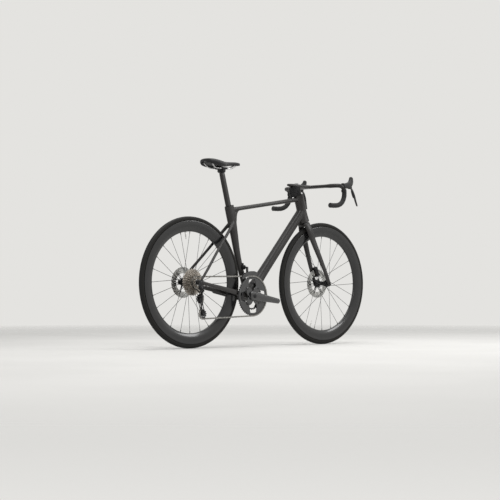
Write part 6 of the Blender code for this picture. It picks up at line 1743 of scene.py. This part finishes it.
def saddle_clamp():
    """A barrel in the post's head, a cradle for the rails and a bolt at each side of it."""
    centre = Vector((-0.276033, 0.0, 0.926))
    barrel = rounded_rod("barrel", centre - Y * 0.0210, centre + Y * 0.0210, 0.0110, 0.0014, 40)
    neck = block("neck", centre + Z * 0.006, (0.024, 0.030, 0.008), ease=0.002)
    fitted("clamp_barrel", [barrel, neck], BLACK, "clamp_group", "black_metal")
    middle = Vector((centre.x, 0, RAIL_LEVEL))
    cradle = block("cradle", middle, (0.040, 0.058, 0.0115), ease=0.0030, segments=4)
    bores = [rounded_rod("bore", middle + Vector((-0.03, y, 0)), middle + Vector((0.03, y, 0)), 0.0038,
                         0.0001, 24) for y in (0.022, -0.022)]
    parting = [block("parting", middle + Y * (side * 0.0256), (0.05, 0.0070, 0.0007), ease=0.0001, segments=1)
               for side in (1, -1)]
    fitted("rail_cradle", [carved(cradle, *bores, *parting)], BLACK, "clamp_group", "black_metal",
           "saddle_clamp")
    bolts = [hex_socket_bolt("bolt", middle + Vector((x, 0, 0.0055)), Z, 0.0040, 0.0020)
             for x in (-0.0115, 0.0115)]
    fitted("clamp_bolts", bolts, BOLT_STEEL, "clamp_group", "black_metal")


# The whole bicycle
def dress_bare_nodes():
    """Solids that stay as they are get their own finish."""
    for name, look in (("upper_headset_bearing", BOLT_STEEL), ("lower_headset_bearing", BOLT_STEEL),
                       ("bottom_bracket", BLACK), ("seatpost_wedge", DARK)):
        for place in nodes[name].material_slots:
            place.material = look


def bicycle():
    carbon_frame()
    carbon_fork()
    seatpost()
    post_collar()
    bottle_bosses()
    wheels()
    cassette()
    crank_arm("right", -1, CRANK_FORWARD, "crank_arm_right")
    crank_arm("left", 1, -CRANK_FORWARD, "crank_arm_left")
    spider_and_bolts()
    chainrings()
    chain()
    derailleur_hanger()
    derailleur_links()
    derailleur_knuckle()
    derailleur_cage()
    pulleys()
    front_derailleur()
    brakes()
    cockpit()
    saddle()
    saddle_clamp()
    dress_bare_nodes()


# Studio
PALE = "#e4e3e0"
VIEW_YAW = radians(45.76)
VIEW_PITCH = radians(1.75)


def studio_floor():
    """A wide floor in matte pale paint that thins out far away, so that it meets the backdrop's colour."""
    look, tree, skin = new_look("matte_floor_paint", Roughness=0.85, Specular_IOR_Level=0.2)
    cloud = speckle(tree, 0.8, detail=2.0)
    wire(tree, skin, Base_Color=two_tone(tree, cloud, "#dfdedb", "#e3e2df", 0.4, 0.6))
    reach = add(tree, "ShaderNodeVectorMath", {"operation": "LENGTH"}, {0: place_of(tree)}).outputs["Value"]
    clear = add(tree, "ShaderNodeBsdfTransparent")
    blend = add(tree, "ShaderNodeMixShader", links={
        0: between(tree, reach, 0.0, 1.0, 2.2, 6.0), 1: skin.outputs[0], 2: clear.outputs[0]})
    tree.links.new(blend.outputs[0], tree.nodes["Material Output"].inputs[0])
    floor = mesh_piece("studio_floor", [(-20, -20, 0), (20, -20, 0), (20, 20, 0), (-20, 20, 0)],
                       [(0, 1, 2, 3)], look)


def studio_backdrop():
    """An even pale backdrop for the eye and for reflections, and a dimmer even light from all round."""
    world = bpy.data.worlds.new("pale_studio")
    world.use_nodes = True
    scene.world = world
    tree = world.node_tree
    tree.nodes.clear()
    rays = add(tree, "ShaderNodeLightPath")
    seen = add(tree, "ShaderNodeMath", {"operation": "MAXIMUM"}, {
        0: rays.outputs["Is Camera Ray"], 1: rays.outputs["Is Glossy Ray"]}).outputs[0]
    seen = add(tree, "ShaderNodeMath", {"operation": "MAXIMUM"}, {
        0: seen, 1: rays.outputs["Is Transmission Ray"]}).outputs[0]
    light = add(tree, "ShaderNodeBackground", links={"Color": hex_colour("#ffffff"), "Strength": 0.34})
    shown = add(tree, "ShaderNodeBackground", links={"Color": hex_colour(PALE), "Strength": 1.0})
    mix = add(tree, "ShaderNodeMixShader", links={0: seen, 1: light.outputs[0], 2: shown.outputs[0]})
    add(tree, "ShaderNodeOutputWorld", links={0: mix.outputs[0]})


def softbox(name, place, aim, width, height, power):
    """A flat rectangular lamp at a place, facing its aim."""
    data = bpy.data.lights.new(name, "AREA")
    data.shape = "RECTANGLE"
    data.size = width
    data.size_y = height
    data.energy = power
    lamp = linked(name, data)
    lamp.location = place
    lamp.rotation_euler = (Vector(aim) - Vector(place)).to_track_quat("-Z", "Y").to_euler()


def camera():
    """A long lens from the rear right, near the ground, as in the photograph."""
    data = bpy.data.cameras.new("camera")
    data.sensor_width = 36.0
    data.lens = 106.56
    data.clip_end = 100.0
    piece = linked("camera", data)
    ahead = Vector((cos(VIEW_PITCH) * cos(VIEW_YAW), cos(VIEW_PITCH) * sin(VIEW_YAW),
                    sin(VIEW_PITCH)))
    piece.location = (-5.577, -5.658, 0.273)
    piece.rotation_euler = ahead.to_track_quat("-Z", "Y").to_euler()
    scene.camera = piece


def studio():
    studio_floor()
    studio_backdrop()
    softbox("overhead", (0.2, -0.4, 4.2), (0, 0, 0.0), 4.4, 3.4, 150)
    softbox("front_right", (3.1, -3.2, 2.5), (0, 0, 0.5), 1.2, 1.8, 60)
    softbox("rear_right", (-3.6, -3.0, 2.6), (0, 0, 0.4), 1.6, 1.4, 40)
    camera()
    scene.view_settings.view_transform = "Standard"


bicycle()
studio()
